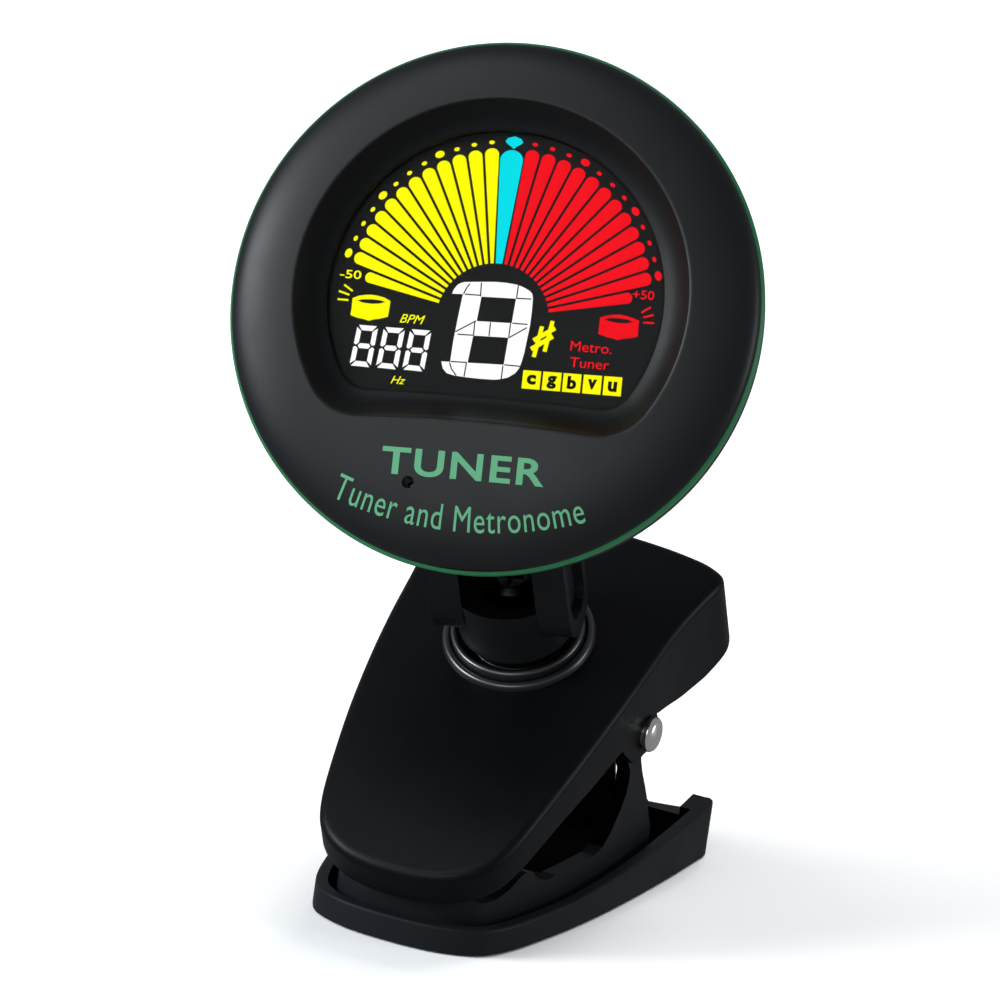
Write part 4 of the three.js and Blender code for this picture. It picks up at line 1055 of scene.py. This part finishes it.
wall_low = [(-34, -4.7), (-30, -4.55), (-25.9, -4.4), (-18.7, -4.35), (-11.1, -5.0), (-6.9, -5.45), (-6.2, -6.4), (-5.2, -8.4), (-4.5, -9.5), (-3.7, -9.75)]
wall_low += [(PIVOT_S + 2.5 * math.cos(rad(-118 + i * 11)), PIVOT_N + 2.5 * math.sin(rad(-118 + i * 11))) for i in range(13)]
wall_low += [(1.1, -7.35), (3.0, -8.3), (6.0, -9.9), (9.0, -11.0), (11.4, -11.6), (14.2, -11.6), (16.2, -10.8), (17.3, -9.6), (18.0, -7.6), (18.6, -5.6), (20, -5.0)]
low_s = [tuple(p) for p in spline(wall_low, 260)]
top_z = lambda x, y: crown(y) - 0.0016 * x * x
shell = pillow(up_out, top_z, -16, 0.95, 8, 30)
common(shell, prismX([(-40, low_s[0][1])] + low_s + [(30, -5.0), (30, 8), (-40, 8)], -22, 22))
inner = inset(up_out, UPPER_WALL)
inner = inner[(inner[:, 1] < 17.0)]
hollow = pillow(even(np.vstack([inner]), UP_N, True), lambda x, y: crown(y) - UPPER_TOP, -22, 0.8, 4, 16)
cut(shell, hollow)
cut(shell, box(-13.2, 13.2, 15.5, 25, -20, -4.4))
cut(shell, cyl(3.15, -10, 10, 0, 0, 64))
cut(shell, along_x(cyl(1.65, -20, 20, 0, 0, 48), 0, PIVOT_S, PIVOT_N))
cut(shell, cyl(6.9, 0.3, 9, 0, 0, 96))
tidy(shell, 0.003, 0.02)
bevel(shell, 0.20, 3, 50)
M_INV = M_CLIP.inverted()
piece(shell, "upper_shell", M_CLIP, UPPER, ["clip_top", "painted_shade"], ["upper_jaw"], smooth=42)
# painted shade on the inside of the jaw's hollow, its underside and its end walls
painted_shade_faces(shell, lambda c, n: (lambda p, q: (q.x * p.x < -0.25 * abs(p.x) and abs(p.x) > 1 and p.z < -0.5) or (q.z < -0.6 and p.z > -3.5)
                           or (q.y < -0.5 and p.y > 10 and p.z < 0) or (q.y > 0.5 and p.y < -20 and p.z < 0))(M_INV @ c, M_INV.to_3x3().normalized() @ n))
# moulded bead round the swivel
bead = lathe(fillet([(6.9, -0.6), (8.02, -0.6), (7.98, 0.60), (7.80, 1.22), (7.10, 1.22), (7.02, 0.35)],
                    [0, 0, 0.1, 0.38, 0.34, 0], 9, True), 192)
piece(bead, "upper_bead", M_CLIP, UPPER, "collar")
collar = lathe(fillet([(6.25, 0.4), (6.98, 0.4), (6.98, 2.08), (6.25, 2.08)], [0, 0, 0.36, 0.36], 9, True), 192)
piece(collar, "collar_ring", M_CLIP, UPPER, "collar", ["swivel_collar"])
fw = lathe(fillet([(3.35, 0.42), (5.0, 0.42), (5.0, 0.75), (3.35, 0.75)], 0.06, 3, True), 72)
piece(fw, "friction_washer_disc", M_CLIP, UPPER, "collar", ["friction_washer"])

up_pad_out = inset(up_out, UPPER_WALL + 0.3)
up_pad_out = [tuple(p) for p in up_pad_out]
pad = prism([tuple(p) for p in even([p for p in up_pad_out if p[1] < 0], 160, True)], -16, 4)
pad_low = [(-31.2, -5.15), (-29.5, -5.9), (-27.9, -5.95), (-27.4, -6.5), (-26.3, -6.45), (-25.8, -7.0), (-24.6, -6.95), (-24.0, -7.4),
           (-22.6, -7.2), (-21.9, -7.2), (-20.9, -6.5), (-20.0, -6.4), (-19.2, -5.7), (-17.6, -5.2), (-13.4, -3.6), (-12.6, -2.6)]
pad_top = [(s, crown(s) - UPPER_TOP - 0.25) for s in np.linspace(-12.6, -31.2, 14)]
common(pad, prismX(fillet(pad_low, 0.25, 3) + pad_top, -20, 20))
tidy(pad)
bevel(pad, 0.18, 2, 40)
piece(pad, "upper_grip_pad", M_CLIP, UPPER, "rubber", ["upper_pad"])

# ================================================================ LOWER JAW
lower_pts = [(0, -28.6), (2.6, -28.5), (5.2, -28.05), (7.7, -27.0), (9.5, -25.5), (10.8, -22.9), (11.9, -18.9), (13.2, -12.3),
             (14.2, -5.1), (14.9, 2.4), (15.4, 10.1), (15.7, 18.2), (15.72, 20.2), (15.45, 21.0), (14.6, 21.2), (12.3, 19.9),
             (8.3, 18.9), (4.0, 18.5), (0, 18.4)]
LOW_N = 320
low_out = np.array(mirrored(lower_pts, LOW_N))
side_curve = spline([p for p in lower_pts if p[1] <= 18.2][:12], 200)


def side_x(y):
    return float(np.interp(y, side_curve[:, 1], side_curve[:, 0]))


rim_top = [(-30, 2.7), (-12.9, 2.85), (-6, 3.2), (1.3, 3.75), (8.8, 4.6), (14.8, 5.3), (20.4, 6.0), (21.4, 6.15), (22.5, 6.2)]
rim_s = spline(rim_top, 120)
rim_z = lambda x, y: float(np.interp(y, rim_s[:, 0], rim_s[:, 1]))
FLOOR = 1.8
tray = pillow(low_out, rim_z, 0.0, 0.32, 5, 20)
low_in = inset(low_out, 1.25)
low_in = np.array([p for p in low_in if p[1] < 17.5])
low_in = even(np.vstack([low_in]), 260, True)
cut(tray, prism([tuple(p) for p in low_in], FLOOR, 14))
cut(tray, box(-13.2, 13.2, 17.0, 30, 4.7, 20))
rib = prism([(-9.6, 4.6), (9.6, 4.6), (8.8, 5.4), (7.6, 5.4), (6.0, 7.0), (-6.0, 7.0), (-7.6, 5.4), (-8.8, 5.4)], 17.35, 18.4,
            Matrix(((1, 0, 0, 0), (0, 0, 1, 0), (0, 1, 0, 0), (0, 0, 0, 1))))
join(tray, rib)
ear = [(-27, 0.6), (9.6, 0.6), (9.2, 5.4), (8.2, 7.2), (7.3, 9.0), (6.2, 10.8), (5.1, 12.4), (4.35, 13.8), (3.75, 15.2), (3.1, 16.6)]
ear += [(2.9 * math.cos(rad(-42 + i * 12.4)), PIVOT_Z + 2.9 * math.sin(rad(-42 + i * 12.4))) for i in range(23)]
ear += [(-0.6, 15.6), (0.9, 14.8), (1.75, 13.6), (1.9, 12.4), (1.6, 11.0), (0.9, 9.7), (0.1, 8.6), (-0.9, 7.3), (-2.2, 6.2), (-3.9, 5.65), (-8.0, 5.5),
        (-11.8, 5.4), (-13.4, 5.1), (-14.3, 5.15), (-15.3, 5.9), (-16.4, 6.75), (-17.4, 6.95), (-18.4, 6.7), (-20.2, 5.6), (-22.0, 4.95), (-23.6, 4.75), (-27, 4.7)]
ear = fillet(ear, 0.5, 3, True)
band_out = inset(low_out, 2.25)
band_in = inset(low_out, 3.75)
band_out = even([tuple(p) for p in band_out if p[1] < 16], 260, True)
band_in = even([tuple(p) for p in band_in if p[1] < 16.5], 260, True)
band = prism([tuple(p) for p in band_out], 0.5, 24)
cut(band, prism([tuple(p) for p in band_in], -1, 30))
common(band, prismX(ear, -20, 20))
cut(band, box(-9.8, 9.8, -5, 30, 0, 30))
join(tray, band)
cut(tray, along_x(cyl(1.65, -20, 20, 0, 0, 48), 0, 0, PIVOT_Z))
tidy(tray, 0.003, 0.02)
bevel(tray, 0.20, 3, 50)
piece(tray, "lower_tray", M_ROOT, LOWER, ["lower", "painted_shade"], ["lower_jaw"], smooth=42)
# painted shade on the tray's inner walls, floor and the faces looking into the pivot; the rest takes the lower jaw's
# lighter copy
painted_shade_faces(tray, lambda c, n: (n.x * c.x < -0.25 * abs(c.x) and abs(c.x) > 0.001) or (n.z > 0.7 and c.z < 0.0022)
      or (n.y > 0.4 and c.y < -0.018) or (n.y < -0.4 and 0 < c.y) or (n.y < -0.2 and n.z < 0.9 and c.y > -0.006 and c.z > 0.0058))

pad_out = inset(low_out, 4.05)
pad_out = even([tuple(p) for p in pad_out if p[1] < -2], 160, True)
lp = prism([tuple(p) for p in pad_out], FLOOR + 0.05, 8)
ribs = []
for i in range(12):
    y = -24.6 + i * 1.2
    ribs += [(y, 4.3), (y + 0.25, 4.75), (y + 0.6, 4.75), (y + 0.85, 4.3)]
common(lp, prismX([(-25.5, 0), (-10.4, 0), (-10.4, 4.3)] + [p for p in reversed(ribs) if p[0] < -10.6] + [(-25.5, 4.3)], -20, 20))
tidy(lp)
bevel(lp, 0.10, 2, 35)
piece(lp, "lower_grip_pad", M_ROOT, LOWER, "rubber", ["lower_pad"])

pin = lathe(fillet([(0, -15.5), (1.5, -15.5), (1.5, 14.62), (1.86, 14.62), (1.9, 15.05), (1.66, 15.48), (0.95, 15.74), (0, 15.80)],
                   [0, 0.15, 0.05, 0.05, 0.3, 0.6, 1.2, 0], 8), 96)
piece(along_x(pin, 0, 0, PIVOT_Z), "pin_body", M_ROOT, LOWER, "nickel", ["pivot_pin"])
cap = lathe(fillet([(1.62, 0), (2.3, 0), (2.3, 0.35), (1.9, 0.8), (1.62, 0.8)], [0, 0.05, 0.15, 0.15, 0.05], 4, True), 64)
piece(along_x(cap, -14.7, 0, PIVOT_Z, -1), "pin_cap", M_ROOT, LOWER, "nickel", ["pin_retainer"])

# torsion spring
def clip_to_root(s, n):
    return (CLIP_Y + s * math.cos(JAW_ANGLE) - n * math.sin(JAW_ANGLE), CLIP_Z + s * math.sin(JAW_ANGLE) + n * math.cos(JAW_ANGLE))


def spring_side(sgn):
    p = [(9.6, 13.5, FLOOR + 0.75), (9.6, 9.5, 5.6), (9.55, 5.2, 10.2)]
    turns, a0, steps = 2.0, rad(-38), 30
    a1 = a0 - turns * 2 * math.pi - rad(288)
    for i in range(steps + 1):
        f = i / steps
        a = a0 + (a1 - a0) * f
        p.append((9.5 - 4.9 * f, 2.95 * math.cos(a), PIVOT_Z + 2.95 * math.sin(a)))
    by, bz = clip_to_root(9.5, -3.15)
    cy, cz = clip_to_root(5.5, -3.9)
    p += [(4.5, cy - 0.6, cz - 0.3), (4.3, by, bz)]
    return [(sgn * x, y, z) for x, y, z in p]


sp = spring_side(-1)
ey, ez = clip_to_root(11.2, -3.15)
sp += [(-2.6, ey, ez), (2.6, ey, ez)]
sp += spring_side(1)[::-1]


def centripetal(P, n):
    P = np.array(P, float)
    E = np.vstack([2 * P[0] - P[1], P, 2 * P[-1] - P[-2]])
    out = []
    for i in range(1, len(E) - 2):
        p0, p1, p2, p3 = E[i - 1:i + 3]
        t = [0.0]
        for a, b in ((p0, p1), (p1, p2), (p2, p3)):
            t.append(t[-1] + max(np.linalg.norm(b - a), 1e-6) ** 0.5)
        for s in np.linspace(t[1], t[2], 10, endpoint=False):
            A1 = (t[1] - s) / (t[1] - t[0]) * p0 + (s - t[0]) / (t[1] - t[0]) * p1
            A2 = (t[2] - s) / (t[2] - t[1]) * p1 + (s - t[1]) / (t[2] - t[1]) * p2
            A3 = (t[3] - s) / (t[3] - t[2]) * p2 + (s - t[2]) / (t[3] - t[2]) * p3
            B1 = (t[2] - s) / (t[2] - t[0]) * A1 + (s - t[0]) / (t[2] - t[0]) * A2
            B2 = (t[3] - s) / (t[3] - t[1]) * A2 + (s - t[1]) / (t[3] - t[1]) * A3
            out.append((t[2] - s) / (t[2] - t[1]) * B1 + (s - t[1]) / (t[2] - t[1]) * B2)
    out.append(P[-1])
    return even(out, n)


coil = tube(centripetal(sp, 520), 0.58, 14)
coil = piece(coil, "spring_coil", M_ROOT, None, "spring", ["torsion_spring"], smooth=60)
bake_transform(coil)

# ------------------------------------------------- CAD nodes that stay as they are
KEEP = {"lcd_panel": "lcd", "light_guide": "white", "zebra_strip": "rubber", "circuit_board": "pcb", "microphone": "cell",
        "piezo_pickup": "brass", "piezo_buzzer": "switch", "coin_cell": "cell", "battery_contact_negative": "brass",
        "battery_contact_positive": "brass", "switch_1": "switch", "switch_2": "switch", "switch_3": "switch", "switch_4": "switch"}
for n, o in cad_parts.items():
    if o.hide_render:
        continue
    # parts not listed take the lower jaw's lighter copy, with its painted light
    m = MAT[KEEP.get(n, "lower")]
    if not o.material_slots:
        o.data.materials.append(m)
    for s in o.material_slots:
        s.material = m

# ------------------------------------------------------------- floor and light
floor_me = bpy.data.meshes.new("floor")
floor_me.from_pydata([(-6, -6, -0.0002), (6, -6, -0.0002), (6, 6, -0.0002), (-6, 6, -0.0002)], [], [(0, 1, 2, 3)])
floor = bpy.data.objects.new("floor", floor_me)
scene.collection.objects.link(floor)
fm = bpy.data.materials.new("floor")
fm.use_nodes = True
fb = fm.node_tree.nodes["Principled BSDF"]
fb.inputs["Base Color"].default_value = (0.93, 0.93, 0.93, 1)
fb.inputs["Roughness"].default_value = 0.9
fb.inputs["Specular IOR Level"].default_value = 0.1
floor_me.materials.append(fm)
floor.visible_glossy = False


def area(name, loc, target, size, power, color=(1, 1, 1), size_y=None):
    d = bpy.data.lights.new(name, "AREA")
    d.shape = "RECTANGLE"
    d.size = size
    d.size_y = size_y or size
    d.energy = power
    d.color = color
    o = bpy.data.objects.new(name, d)
    scene.collection.objects.link(o)
    o.location = loc
    o.rotation_mode = "QUATERNION"
    o.rotation_quaternion = (Vector(target) - Vector(loc)).to_track_quat("-Z", "Y")
    return o


back = area("back_sky", (0.15, 1.25, 1.15), (0, 0.15, 0.0), 1.1, 26.0)
back.visible_glossy = False
area("top_front", (-0.42, -0.50, 1.10), (0, -0.02, 0.03), 0.50, 3.4, (0.93, 0.97, 1.0))
area("key_left", (-0.80, -0.62, 0.42), (0, -0.02, 0.055), 0.42, 13.0, (0.93, 0.97, 1.0))
area("front_soft", (-0.10, -1.25, 0.62), (0, 0, 0.06), 0.55, 4.6, (0.92, 0.965, 1.0))
area("fill_right", (0.95, 0.30, 0.24), (0, 0, 0.03), 0.35, 3.0, (0.88, 0.94, 1.0))

world = bpy.data.worlds.new("world")
world.use_nodes = True
world.node_tree.nodes["Background"].inputs["Color"].default_value = (0.95, 0.97, 1.0, 1)
world.node_tree.nodes["Background"].inputs["Strength"].default_value = 0.26
scene.world = world
scene.view_settings.view_transform = "Standard"
